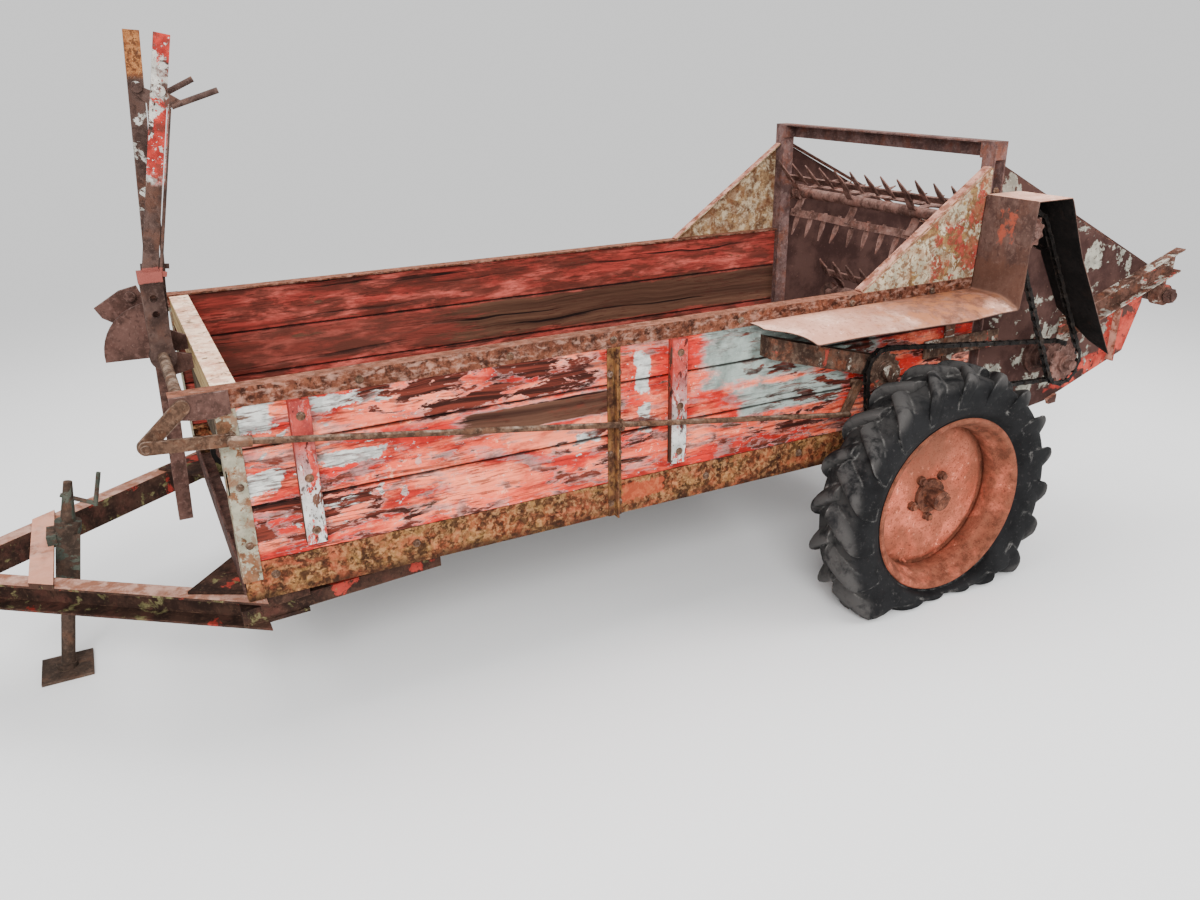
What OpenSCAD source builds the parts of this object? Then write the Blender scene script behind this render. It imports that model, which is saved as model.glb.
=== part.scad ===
// Trailed manure spreader with a wooden box, ground-driven beaters and a parking jack.
// X points forward to the hitch, Y to the machine's left, Z up from the ground it stands on.
// A place along the machine is given by s, its distance behind the front of the box,
// and a height by h, measured from the underside of the sills.

/* [Box] */
// Width over the side planks
box_w = 1100; // [900:10:1300]
// Length from the front of the box to the arch posts
box_len = 2350; // [2000:10:2700]
// Height of the top rails above the underside of the sills
rail_h = 536; // [480:2:620]
// Height of the sills' underside above the ground
ground_gap = 390; // [370:2:410]
// Thickness of the side planks
plank_t = 25; // [18:1:35]
// Number of planks in each side
planks = 3; // [2:1:4]
// Gap between neighbouring boards
board_gap = 3; // [1:0.5:6]
// Height of the sill channels
sill_h = 100; // [80:2:120]
// Width of the sill channels' flanges
sill_flange = 45; // [35:1:60]
// Thickness of the sill channels
sill_t = 6; // [4:0.5:8]
// Leg of the top rails' angle iron
rail_leg = 45; // [35:1:60]
// Thickness of the angle iron and sheet brackets
angle_t = 5; // [3:0.5:8]
// Thickness of the floor boards
floor_t = 22; // [16:1:30]
// Height of the floor's top above the underside of the sills
floor_h = 110; // [100:2:130]
// Height of the floor's cross members
cross_h = 50; // [40:2:54]

/* [Rear frame] */
// Height of the arch above the underside of the sills
arch_h = 945; // [850:5:1050]
// Thickness of the arch's channels
arch_tube = 50; // [40:1:70]
// Thickness of the rear side plates and wings
plate_t = 5; // [3:0.5:8]
// Height of the wings' peak above the underside of the sills
wing_peak_h = 868; // [800:2:900]
// Reach of the wings' front corners ahead of the arch
wing_reach = 505; // [400:5:650]
// Width of the folded lips of the wings
wing_lip = 36; // [15:1:45]
// Reach of the tail rails behind the arch
tail_reach = 970; // [850:5:1050]
// Height of the tail rail's channel
tail_rail_h = 82; // [70:1:100]
// Width of the tail rail's channel flanges
tail_flange = 36; // [25:1:50]

/* [Drawbar] */
// Distance of the hitch eye's centre ahead of the box
hitch_reach = 905; // [850:5:1100]
// Bore of the hitch eye
hitch_bore = 38; // [25:1:50]
// Outer radius of the hitch eye
hitch_r = 44; // [38:1:55]
// Thickness of the hitch tongue
hitch_t = 26; // [20:1:34]
// Height of the drawbar channels
arm_h = 75; // [60:1:90]
// Width of the drawbar channels' flanges
arm_flange = 50; // [40:1:60]
// Thickness of the drawbar channels
arm_t = 6; // [4:0.5:8]

/* [Jack] */
// Place of the jack ahead of the box
jack_ahead = 385; // [350:5:420]
// Outer width of the jack's square tube
jack_tube_w = 60; // [50:1:80]
// Lean of the jack from upright
jack_lean = 11; // [0:1:14]
// Diameter of the jack's leg
jack_leg_d = 36; // [30:1:46]
// Height of the jack leg's top above the underside of the sills
jack_pipe_h = 172; // [120:2:220]

/* [Wheels] */
// Radius of the rim's flanges
rim_r = 280; // [270:1:290]
// Width between the rim's outer faces
rim_w = 150; // [130:1:170]
// Radius over the tyre's lugs where it carries no load
tyre_r = 425; // [405:1:445]
// Half width of the tyre at its sidewalls
tyre_half_w = 92; // [84:1:100]
// Height of the tyre's lugs
lug_h = 28; // [18:1:34]
// Lugs on each side of a tyre
lugs = 19; // [12:1:24]
// Distance from the side planks to the rim's outer face
rim_offset = 300; // [280:2:340]
// Distance of the axle ahead of the arch
axle_ahead = 350; // [280:10:450]
// Drop of the axle below the sills
axle_drop = 82; // [70:1:95]
// Diameter of the axle
axle_d = 50; // [40:1:60]
// Radial clearance of the shafts in their bearings
shaft_clear = 0.05; // [0.02:0.01:0.1]

/* [Beaters] */
// Distance of the upper beater behind the arch
upper_behind = 50; // [40:5:70]
// Height of the upper beater above the underside of the sills
upper_h = 683; // [670:1:700]
// Radius over the upper beater's teeth
upper_r = 165; // [145:1:175]
// Distance of the lower beater behind the arch
lower_behind = 300; // [280:5:330]
// Height of the lower beater above the underside of the sills
lower_h = 225; // [215:1:240]
// Radius over the lower beater's teeth
lower_r = 222; // [200:1:230]
// Distance of the tail shaft ahead of the tail rails' end
tail_shaft_ahead = 70; // [50:5:120]
// Height of the tail shaft above the underside of the sills
tail_shaft_h = 370; // [355:1:375]
// Teeth along each bar of a beater
teeth = 12; // [8:1:16]
// Toothed bars around each beater
bars = 3; // [2:1:4]

/* [Chains] */
// Distance between neighbouring pins of the drive chains
link_pitch = 38; // [34:0.5:42]
// Teeth on the axle's sprocket
axle_teeth = 21; // [18:1:22]
// Teeth on the sprocket that the main chain drives, and on its idler
driven_teeth = 11; // [10:1:12]
// Teeth on the lower beater's second sprocket
drive_teeth = 12; // [10:1:13]
// Teeth on the upper beater's sprocket
upper_teeth = 10; // [9:1:11]

/* [Levers] */
// Diameter of the cross shaft at the front
cross_shaft_d = 27; // [20:1:34]
// Depth of the cross shaft's centre below the top of the rails
cross_shaft_drop = 21; // [19:1:26]
// Distance of the cross shaft ahead of the box
cross_shaft_ahead = 70; // [62:1:90]
// Length of the hand levers above the cross shaft
lever_len = 765; // [600:5:850]
// Diameter of the engaging rod along the left side
rod_d = 16; // [12:1:22]

/* [Hidden] */
$fn = 48;
half_w = box_w / 2;
sill_z = ground_gap;
hitch_tip = hitch_reach + hitch_r;
tail_end_s = box_len + tail_reach;
axle_s = box_len - axle_ahead;
upper_s = box_len + upper_behind;
lower_s = box_len + lower_behind;
tail_shaft_s = tail_end_s - tail_shaft_ahead;
wing_front_s = box_len - wing_reach;
arch_front_s = box_len - arch_tube / 2;
front_x = (tail_end_s - hitch_tip) / 2;
plank_in = half_w - plank_t;
wheel_y = half_w + rim_offset - rim_w / 2;
axle_z = sill_z - axle_drop;
chain_y = half_w + 75;
plate_front = box_len + arch_tube / 2;
sill_len = plate_front;
slack = 0.3;
overlap = 1;

// Moves to a place s behind the box front, y to the left and h above the sills' underside
module at(s, y, h) {
    translate([front_x - s, y, sill_z + h]) children();
}

// Makes the left piece or its mirror image on the right
module on_side(left) {
    mirror([0, left ? 0 : 1, 0]) children();
}

// A cylinder along Y from y0 to y1
module ycyl(r, y0, y1) {
    translate([0, y1, 0]) rotate([90, 0, 0]) cylinder(r = r, h = y1 - y0);
}

// A plate across Y from y0 to y1 whose outline is a list of [s, h] about the place it is put at
module sheet(outline, y0, y1) {
    translate([0, y1, 0]) rotate([90, 0, 0]) linear_extrude(y1 - y0)
        polygon([for (p = outline) [-p[0], p[1]]]);
}

module side_sheet(outline, y0, y1) {
    at(0, 0, 0) sheet(outline, y0, y1);
}

// A bar along the machine from s0 to s1 whose outline is a list of [y, h]
module along(outline, s0, s1) {
    at(s1, 0, 0) rotate([90, 0, 90]) linear_extrude(s1 - s0) polygon(outline);
}

// A level plate from h0 to h1 whose outline is a list of [s, y]
module level(outline, h0, h1) {
    at(0, 0, h0) linear_extrude(h1 - h0) polygon([for (p = outline) [-p[0], p[1]]]);
}

// A round rod in a plane across Y from place a to place b, both [s, h]
module rod(a, b, y, r) {
    translate([-a[0], y, a[1]]) rotate([0, atan2(a[0] - b[0], b[1] - a[1]), 0])
        cylinder(r = r, h = norm(b - a));
}

// A box from s0 to s1, y0 to y1 and h0 to h1
module block(s0, s1, y0, y1, h0, h1) {
    translate([front_x - s1, y0, sill_z + h0]) cube([s1 - s0, y1 - y0, h1 - h0]);
}

// Sills and floor

module sill() {
    difference() {
        block(0, sill_len, half_w - sill_flange, half_w, 0, sill_h);
        block(-1, sill_len + 1, half_w - sill_flange - 1, half_w - sill_t, sill_t, sill_h - sill_t);
    }
}

module sill_left() {
    color("#5c5243") on_side(true) sill();
}

module sill_right() {
    color("#5c5243") on_side(false) sill();
}

floor_in = half_w - sill_flange - 1;
cross_top = floor_h - floor_t;
cross_places = [330, 900, 1450, 1850];

front_angle_w = 40;
front_angle_h = 70;
cross_w = 45;

module cross_members() {
    color("#4d3a30") {
        for (s = cross_places)
            difference() {
                block(s, s + cross_w, sill_t - half_w, half_w - sill_t, cross_top - cross_h, cross_top);
                block(s + angle_t, s + cross_w + 1, -half_w, half_w,
                    cross_top - cross_h - 1, cross_top - angle_t);
            }
        // angle across the front, its upright leg between the corner posts
        block(0, front_angle_w, sill_flange - half_w, half_w - sill_flange, 0, angle_t);
        block(-angle_t, 0, corner_post_w - half_w, half_w - corner_post_w, 0, front_angle_h);
    }
}

floor_front = 150;
floor_rear = 2190;
floor_count = 7;
board_w = (2 * floor_in + board_gap) / floor_count - board_gap;

module floor_boards() {
    color("#6d6152")
        for (i = [0 : floor_count - 1])
            let (y0 = -floor_in + i * (board_w + board_gap))
                block(floor_front, floor_rear, y0, y0 + board_w, cross_top, floor_h);
}

// Sides

side_h = rail_h - angle_t - sill_h;
plank_w = (side_h + board_gap) / planks - board_gap;
side_front = 0;
side_rear = box_len - 25;

module side_planks() {
    for (i = [0 : planks - 1])
        let (h0 = sill_h + i * (plank_w + board_gap))
            block(side_front, side_rear, plank_in, half_w, h0, h0 + plank_w);
}

module planks_left() {
    color("#b3312a") on_side(true) side_planks();
}

module planks_right() {
    color("#b3312a") on_side(false) side_planks();
}

front_beam_w = 55;
front_beam_h = 90;
front_board_t = 25;
front_gap_h = 205;

module front_board() {
    color("#2e2623")
        block(front_beam_w / 2, front_beam_w / 2 + front_board_t, -plank_in, plank_in, front_gap_h,
            rail_h - front_beam_h);
}

module front_beam() {
    color("#a98670")
        block(0, front_beam_w, -plank_in, plank_in, rail_h - front_beam_h, rail_h - angle_t);
}

rail_nose = cross_shaft_ahead + 22;
cross_shaft_h = rail_h - cross_shaft_drop;
rail_in = plank_in - 15;

// Angle iron along the top, run on ahead of the box to carry the cross shaft
module top_rail() {
    difference() {
        block(-rail_nose, arch_front_s, rail_in, half_w + angle_t, rail_h - rail_leg, rail_h);
        block(-rail_nose - 1, arch_front_s + 1, 0, half_w, 0, rail_h - angle_t);
        cross_shaft_hole(half_w - 1, half_w + angle_t + 1);
    }
}

module rail_left() {
    color("#8a4a38") on_side(true) top_rail();
}

module rail_right() {
    color("#8a4a38") on_side(false) top_rail();
}

corner_post_w = 40;
corner_low = 55;
tee_post_s = 975;
tee_post_w = 40;
tee_web_h = 26;
batten_w = 48;
batten_t = 28;
batten_foot = 30;
batten_places = [150, 1165];
post_top = rail_h - rail_leg;
stake_ahead = 150;
stake_w = 40;
stake_t = 8;

// Half-round loop that guides the engaging rod on the tee post
module rod_guide() {
    at(tee_post_s + tee_post_w / 2, 0, guide_h) difference() {
        sheet([[-8, -16], [8, -16], [8, 16], [-8, 16]], half_w + tee_web_h - overlap, rod_y + 18);
        translate([0, rod_y, 0]) rotate([0, 90, 0]) cylinder(r = rod_d / 2 + 4, h = 40, center = true);
    }
}

module side_posts() {
    // front corner angle
    difference() {
        block(-angle_t, corner_post_w, half_w - corner_post_w, half_w + angle_t, corner_low, post_top);
        block(0, corner_post_w + 1, half_w - corner_post_w - 1, half_w, corner_low - 1, post_top + 1);
    }
    // tee post: a flat against the planks and its standing web
    block(tee_post_s, tee_post_s + tee_post_w, half_w, half_w + angle_t, 0, post_top);
    let (web_s = tee_post_s + tee_post_w / 2 - angle_t / 2)
        block(web_s, web_s + angle_t, half_w, half_w + tee_web_h, 0, post_top);
    for (s = batten_places)
        block(s, s + batten_w, half_w, half_w + batten_t, sill_h + batten_foot, post_top);
    // flat stake behind the wheel's front edge
    block(box_len - stake_ahead, box_len - stake_ahead + stake_w, half_w, half_w + stake_t, 0, post_top);
}

module posts_left() {
    color("#6b4a3a") on_side(true) {
        side_posts();
        rod_guide();
    }
}

module posts_right() {
    color("#6b4a3a") on_side(false) side_posts();
}

// Rear frame

arch_in = half_w - arch_tube;
arch_cap_in = 60;

module arch() {
    color("#6a4436") {
        // side posts, channels that are open to the outside
        for (m = [0, 1])
            mirror([0, m, 0])
                difference() {
                    block(arch_front_s, plate_front, arch_in, half_w, sill_h, arch_h - arch_tube);
                    block(arch_front_s + angle_t, plate_front - angle_t, arch_in + angle_t, half_w + 1,
                        sill_h - 1, arch_h - arch_tube - angle_t);
                }
        difference() {
            block(arch_front_s, plate_front, -half_w, half_w, arch_h - arch_tube, arch_h);
            block(arch_front_s - 1, plate_front - angle_t, arch_cap_in - half_w, half_w - arch_cap_in,
                arch_h - arch_tube - 1, arch_h - angle_t);
        }
    }
}

plate_rear_s = box_len + 830;
plate_tail_s = box_len + 770;
plate_low_s = box_len + 390;
slope_end_s = box_len + 403;
tail_front_s = box_len + 395;
low_corner = [plate_low_s, 42];
tail_corner = [plate_tail_s, 172];
rear_corner = [plate_rear_s, 478];
tail_slope = 0.32;
tail_end_h = 530;
function tail_top(s) = tail_end_h - (tail_end_s - s) * tail_slope;

// Rear plate below and above the tail rail, with the front wing ahead of the arch
plate_outline = [[plate_front, 0], low_corner, tail_corner, [plate_rear_s, 345],
    rear_corner, [slope_end_s, 679], [plate_front, wing_peak_h]];
wing_outline = [[wing_front_s, rail_h], [arch_front_s, rail_h], [arch_front_s, wing_peak_h]];

// Folded lip along an edge of the plates, from point a to point b
module edge_lip(a, b, width) {
    let (d = b - a, l = norm(d), n = [-d[1], d[0]] / l * plate_t)
        side_sheet([a, b, b - n, a - n], half_w - width, half_w - plate_t);
}

rib_s = plate_rear_s - 145;
rib_low = 150;
rib_high = 340;
rib_out = 28;

module plate_bores() {
    at(upper_s, 0, upper_h) ycyl(40, half_w - 50, half_w + 50);
    at(lower_s, 0, lower_h) ycyl(48, half_w - 50, half_w + 50);
}

module side_plate() {
    difference() {
        union() {
            side_sheet(plate_outline, half_w - plate_t, half_w);
            side_sheet(wing_outline, half_w - plate_t, half_w);
            edge_lip(rear_corner, [plate_front, wing_peak_h], wing_lip);
            edge_lip([arch_front_s, wing_peak_h], [wing_front_s, rail_h], wing_lip);
            edge_lip([plate_front, 0], low_corner, wing_lip);
            edge_lip(low_corner, tail_corner, wing_lip);
        }
        plate_bores();
    }
    // standing rib near the rear edge and the small bracket at the low corner
    side_sheet([[rib_s, rib_low], [rib_s + 6, rib_low], [rib_s + 6, rib_high], [rib_s, rib_high]],
        half_w, half_w + rib_out);
    side_sheet([low_corner + [0, 4], low_corner + [45, 20], low_corner + [45, -12], low_corner + [10, -14]],
        half_w, half_w + 12);
}

module side_plate_left() {
    color("#7c4438") on_side(true) side_plate();
}

module side_plate_right() {
    color("#7c4438") on_side(false) side_plate();
}

tail_shaft_r = 17;
tail_bearing_r = 38;
tail_block_w = 68;

module tail_rail() {
    let (a = [tail_front_s, tail_top(tail_front_s)], b = [tail_end_s, tail_top(tail_end_s)],
        deep = [0, tail_rail_h], lip = [0, angle_t], run = [overlap, tail_slope])
        difference() {
            side_sheet([a, b, b - deep, a - deep], half_w, half_w + tail_flange);
            side_sheet([a - run - lip, b + run - lip, b + run - deep + lip, a - run - deep + lip],
                half_w + angle_t, half_w + tail_flange + 1);
        }
    difference() {
        union() {
            at(tail_shaft_s, 0, tail_shaft_h) ycyl(tail_bearing_r, half_w - 2, half_w + 40);
            let (s0 = tail_shaft_s - tail_block_w / 2, s1 = tail_shaft_s + tail_block_w / 2,
                low = [0, tail_rail_h - 1])
                side_sheet([[s0, tail_shaft_h], [s1, tail_shaft_h], [s1, tail_top(s1)] - low,
                    [s0, tail_top(s0)] - low], half_w, half_w + 12);
        }
        at(tail_shaft_s, 0, tail_shaft_h) ycyl(tail_shaft_r + shaft_clear, half_w - 10, half_w + 60);
    }
}

module tail_rail_left() {
    color("#8e8378") on_side(true) tail_rail();
}

module tail_rail_right() {
    color("#8e8378") on_side(false) tail_rail();
}

tail_stub = 74;
tail_collar_r = 28;

module tail_shaft() {
    color("#5d4a40") at(tail_shaft_s, 0, tail_shaft_h) {
        ycyl(tail_shaft_r, -half_w - tail_stub, half_w + tail_stub);
        ycyl(tail_collar_r, 12 - half_w, half_w - 12);
        for (m = [0, 1])
            mirror([0, m, 0]) rotate([90, 0, 0]) translate([0, 0, -half_w - tail_stub + 8])
                cylinder(r = tail_shaft_r + 11, h = 18, $fn = 6);
    }
}

// Drawbar

arm_tip_ahead = 700;
arm_tip_half = 40;
arm_heel = 40;
arm_slope = (half_w - arm_tip_half) / arm_tip_ahead;
arm_across = arm_flange * norm([1, arm_slope]);
web_across = arm_t * norm([1, arm_slope]);
function arm_y(ahead) = half_w - arm_slope * ahead;

// Plan of one arm between two lines at equal distances inside its outer face
module arm_plan(y_out, y_in, a0, a1, h0, h1) {
    level([[-a0, arm_y(a0) - y_out], [-a1, arm_y(a1) - y_out],
        [-a1, arm_y(a1) - y_in], [-a0, arm_y(a0) - y_in]], h0, h1);
}

// One arm, a channel with its web inside and its flanges to the outside
module arm() {
    difference() {
        arm_plan(0, arm_across, -arm_heel, arm_tip_ahead, -arm_h, 0);
        arm_plan(-arm_across, arm_across - web_across, -arm_heel - 1, arm_tip_ahead + 1,
            arm_t - arm_h, -arm_t);
    }
}

tie_ahead = jack_ahead + jack_tube_w / 2 + 4;
tie_w = 56;
tie_t = 10;
tongue_slot_ahead = arm_tip_ahead - 120;
gusset_t = 8;
under_bar_end = 500;
under_bar_low = -66;
under_bar_top = -28;
pad_places = [[25, 145, 3], [375, 500, 52]];

// Bar below a sill that carries the arm's heel, its foot plate, and its pads
// as [from s, to s, distance inside the sill's face]
module under_bar() {
    level([[-20, half_w - 12], [under_bar_end, half_w - 70], [under_bar_end, half_w - 110],
        [-20, half_w - 60]], under_bar_low, under_bar_top);
    for (q = pad_places)
        level([[q[0], half_w - q[2]], [q[1], half_w - q[2] - 16], [q[1], half_w - 104], [q[0], half_w - 60]],
            under_bar_top - overlap, 0);
    level([[-10, half_w - 10], [140, half_w - 20], [140, half_w - 110], [-10, half_w - 60]],
        under_bar_low - 9, under_bar_low);
}

module drawbar() {
    color("#5a4639") {
        difference() {
            union() {
                arm();
                mirror([0, 1, 0]) arm();
            }
            block(-hitch_reach, -tongue_slot_ahead, -hitch_r - slack, hitch_r + slack,
                -arm_h / 2 - hitch_t / 2 - slack, -arm_h / 2 + hitch_t / 2 + slack);
        }
        // flat tie across the arms' top
        let (y0 = arm_y(tie_ahead), y1 = arm_y(tie_ahead + tie_w))
            level([[-tie_ahead, -y0], [-tie_ahead, y0], [-tie_ahead - tie_w, y1],
                [-tie_ahead - tie_w, -y1]], 0, tie_t);
        // gussets in the corners between the arms and the front angle, and the bars under the sills
        for (m = [0, 1])
            mirror([0, m, 0]) {
                level([[-127, arm_y(127) - 20], [-angle_t, half_w - 250], [-angle_t, half_w - 45]],
                    0, gusset_t);
                under_bar();
            }
    }
}

module hitch_eye() {
    color("#4f433b")
        at(0, 0, -arm_h / 2 - hitch_t / 2)
            difference() {
                union() {
                    translate([hitch_reach, 0, 0]) cylinder(r = hitch_r, h = hitch_t);
                    translate([tongue_slot_ahead + 10, -hitch_r, 0])
                        cube([hitch_reach - tongue_slot_ahead - 10, 2 * hitch_r, hitch_t]);
                }
                translate([hitch_reach, 0, -1]) cylinder(d = hitch_bore, h = hitch_t + 2);
            }
}

// Jack

jack_y = -30;
jack_top_h = 20;
jack_low_h = -122;
jack_collar_h = 29;
jack_collar_d = 66;
jack_ear_t = 14;
jack_ear_h = 26;
jack_ear_w = 76;
foot_t = 8;
foot_l = 132;
foot_w = 136;
foot_boss_r = 27;

// The jack's axis, leaning forward to its foot
module on_jack() {
    at(-jack_ahead, jack_y, tie_t) rotate([0, -jack_lean, 0]) children();
}

module jack_body() {
    color("#6f4a3c")
        difference() {
            union() {
                on_jack() {
                    translate([-jack_tube_w / 2, -jack_tube_w / 2, jack_low_h])
                        cube([jack_tube_w, jack_tube_w, jack_top_h - jack_low_h]);
                    translate([0, 0, jack_top_h]) cylinder(d = jack_collar_d, h = jack_collar_h);
                }
                // ear that bolts the tube to the tie plate
                block(-tie_ahead - jack_ear_t, 6 - jack_ahead - jack_tube_w / 2,
                    jack_y - jack_ear_w / 2, jack_y + jack_ear_w / 2, tie_t, tie_t + jack_ear_h);
            }
            on_jack() translate([0, 0, jack_low_h - 1])
                cylinder(d = jack_leg_d + 2 * shaft_clear, h = jack_top_h + jack_collar_h - jack_low_h + 2);
        }
}

handle_r = 6;
handle_line = [[-18, 124], [66, 97], [73, 187]];
taper_from = 64;
taper_r = 11;

leg_low = (tie_t + sill_z - 5) / cos(jack_lean);
foot_ahead = jack_ahead + (tie_t + sill_z) * tan(jack_lean);

module jack_leg() {
    color("#7a5a4a") {
        on_jack() {
            translate([0, 0, -leg_low]) cylinder(d = jack_leg_d, h = leg_low + taper_from);
            translate([0, 0, taper_from])
                cylinder(r1 = jack_leg_d / 2, r2 = taper_r, h = jack_pipe_h - tie_t - taper_from);
            // cranked handle through the leg
            rod(handle_line[0], handle_line[1], 0, handle_r);
            rod(handle_line[1] - [0, handle_r], handle_line[2], 0, handle_r);
        }
        // level foot plate with its boss
        at(-foot_ahead, jack_y, -sill_z) {
            translate([0, 0, foot_t]) cylinder(r = foot_boss_r, h = 14);
            translate([-foot_l / 2, -foot_w / 2, 0]) cube([foot_l, foot_w, foot_t]);
        }
    }
}

// Axle and wheels

bearing_w = 46;
bearing_r = 44;
bearing_foot = 170;
axle_end = wheel_y + 22;

module axle_bearings() {
    color("#4b3d34")
        for (m = [0, 1])
            mirror([0, m, 0])
                difference() {
                    union() {
                        at(axle_s, 0, -axle_drop) ycyl(bearing_r, half_w - bearing_w, half_w);
                        block(axle_s - bearing_r, axle_s + bearing_r,
                            half_w - bearing_w, half_w, -axle_drop, 0);
                        block(axle_s - bearing_foot / 2, axle_s + bearing_foot / 2,
                            half_w - bearing_w, half_w, -14, 0);
                    }
                    at(axle_s, 0, -axle_drop)
                        ycyl(axle_d / 2 + shaft_clear, half_w - bearing_w - 1, half_w + 1);
                }
}

module axle() {
    color("#57473c") at(axle_s, 0, -axle_drop) {
        ycyl(axle_d / 2, -axle_end, axle_end);
        sprocket(axle_teeth, chain_y);
        ycyl(42, chain_y - 24, chain_y + 14);
    }
}

rim_t = 5;
seat_r = rim_r - 24;
disc_w = -24;
disc_t = 6;
disc_flat_r = 217;
valve_r = 8;

module rim() {
    color("#b4604c") translate([front_x - axle_s, wheel_y, axle_z]) rotate([-90, 0, 0]) difference() {
        rotate_extrude($fn = 96) {
            // barrel and flanges
            polygon([[rim_r, rim_w / 2], [rim_r, rim_w / 2 - 6], [seat_r + rim_t, rim_w / 2 - 12],
                [seat_r + 2, 30], [seat_r - 14, 22], [seat_r - 14, -22], [seat_r + 2, -30],
                [seat_r + rim_t, 12 - rim_w / 2], [rim_r, 6 - rim_w / 2], [rim_r, -rim_w / 2],
                [seat_r - 1, 6 - rim_w / 2], [seat_r - 3, -32], [seat_r - 19, -26],
                [seat_r - 19, 26], [seat_r - 3, 32], [seat_r - 1, rim_w / 2 - 6]]);
            // disc, dished at its edge
            polygon([[45, disc_w], [disc_flat_r, disc_w], [disc_flat_r + 12, disc_w - 10],
                [seat_r + 1, disc_w - 14], [seat_r + 1, disc_w - 22], [disc_flat_r + 8, disc_w - 18],
                [disc_flat_r - 3, disc_w - disc_t], [45, disc_w - disc_t]]);
        }
        wheel_studs(stud_r + slack);
        rotate([0, 0, 70]) translate([disc_flat_r + 8, 0, disc_w - 40]) cylinder(r = valve_r, h = 80);
    }
}

stud_r = 9;
stud_circle = 72;
stud_nut_r = 15;
hub_ring_r = 55;
boss_r = 32;
boss_out = 60;
boss_bore = 24;
hub_flange_t = 12;

module wheel_studs(r) {
    for (i = [0 : 4])
        rotate([0, 0, 72 * i + 18]) translate([stud_circle, 0, disc_w - disc_t - hub_flange_t + 2])
            cylinder(r = r, h = disc_t + hub_flange_t + 22);
}

module hub() {
    color("#6e4a3d") translate([front_x - axle_s, wheel_y, axle_z]) rotate([-90, 0, 0])
        difference() {
            union() {
                translate([0, 0, -54]) cylinder(r = 40, h = 54 + disc_w + 2);
                translate([0, 0, disc_w - disc_t - slack - hub_flange_t]) cylinder(r = 92, h = hub_flange_t);
                translate([0, 0, disc_w]) cylinder(r = hub_ring_r, h = 14);
                translate([0, 0, disc_w]) cylinder(r = boss_r, h = boss_out);
                wheel_studs(stud_r);
                for (i = [0 : 4])
                    rotate([0, 0, 72 * i + 18]) translate([stud_circle, 0, disc_w + slack])
                        cylinder(r = stud_nut_r, h = 15, $fn = 6);
            }
            translate([0, 0, -60]) cylinder(r = axle_d / 2 + shaft_clear, h = 60 + boss_bore);
        }
}

// Outline radius of the flat tyre at the angle a from straight down
function bump(a) = 16 * max(0, cos(2.4 * (abs(a) - 48)));
function tip_r(a) = let (free = tyre_r + (abs(a) < 85 ? bump(a) : 0))
    abs(a) < 60 ? min(free, axle_z / cos(a)) : free;
fold_r = rim_r + 7;
function squeeze(a) = (tip_r(a) - fold_r) / (tyre_r - fold_r);
function spread(a) = abs(a) < 60 ? 1 + 0.2 * sin(3 * abs(a)) : 1;

// Point of the tyre at angle a from straight down, w across and r out in the free tyre
function tyre_point(a, w, r) = let (q = r > fold_r ? fold_r + (r - fold_r) * squeeze(a) : r,
        v = r > fold_r ? w * spread(a) : w)
    [q * sin(a), v, -q * cos(a)];

crown_r = tyre_r - lug_h;
lug_step = 360 / lugs;
lug_sweep = -15;
bead_r = (seat_r + rim_t + slack) / cos(lug_step / 4);
// Rows of a side from the crown to the side wall, its lugs standing on them:
// [across at the root, root radius, across at the top, top radius, angle, share of the lug's width]
lug_rows = [[8, crown_r, 8, tyre_r, 0, 1],
    [tyre_half_w - 18, crown_r - 8, tyre_half_w - 5, tyre_r - 8, -10, 0.95],
    [tyre_half_w - 1, 338, tyre_half_w + 3, 352, lug_sweep, 0.8]];
// Edges of a lug as [degrees from its middle line, place of its point in the row]
lug_edges = [[-2.2, 0], [-1.5, 2], [1.5, 2], [2.2, 0]];
side_rows = [[rim_w / 2 + 3, rim_r + 6], [rim_w / 2 - 12, rim_r + 1], [rim_w / 2 - 14, bead_r]];

function wrap(a) = a > 180 ? a - 360 : a;
function lug_ring(q, side) = [for (i = [0 : lugs - 1], e = lug_edges)
    let (a = (i + (side < 0 ? 0.5 : 0)) * lug_step + q[4] + e[0] * q[5])
        tyre_point(wrap(a), side * q[e[1]], q[e[1] + 1])];
function plain_ring(p, side) = [for (i = [0 : 2 * lugs - 1])
    tyre_point(wrap((i - side / 2) * lug_step / 2 + lug_sweep), side * p[0], p[1])];
function side_rings(side) = concat([for (q = lug_rows) lug_ring(q, side)],
    [for (p = side_rows) plain_ring(p, side)]);
function first(rings, k) = k == 0 ? 0 : first(rings, k - 1) + len(rings[k - 1]);

// Triangles between a ring of na points from a and a ring of nb points from b, turned by some points
function strip(a, na, b, nb, turned) = na == nb
    ? [for (j = [0 : na - 1])
        let (j2 = (j + 1) % na, c = b + (j + turned + nb) % nb, d = b + (j2 + turned + nb) % nb)
            for (f = [[a + j, a + j2, d], [a + j, d, c]]) f]
    : na > nb
    ? [for (k = [0 : nb - 1]) let (c = a + 2 * k + 1, d = b + (k + 1) % nb)
        for (f = [[a + 2 * k, c, b + k], [c, a + (2 * k + 2) % na, d], [c, d, b + k]]) f]
    : [for (k = [0 : na - 1]) let (c = b + 2 * k + 1, d = a + (k + 1) % na)
        for (f = [[a + k, c, b + 2 * k], [a + k, d, c], [d, b + (2 * k + 2) % nb, c]]) f];

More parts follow.
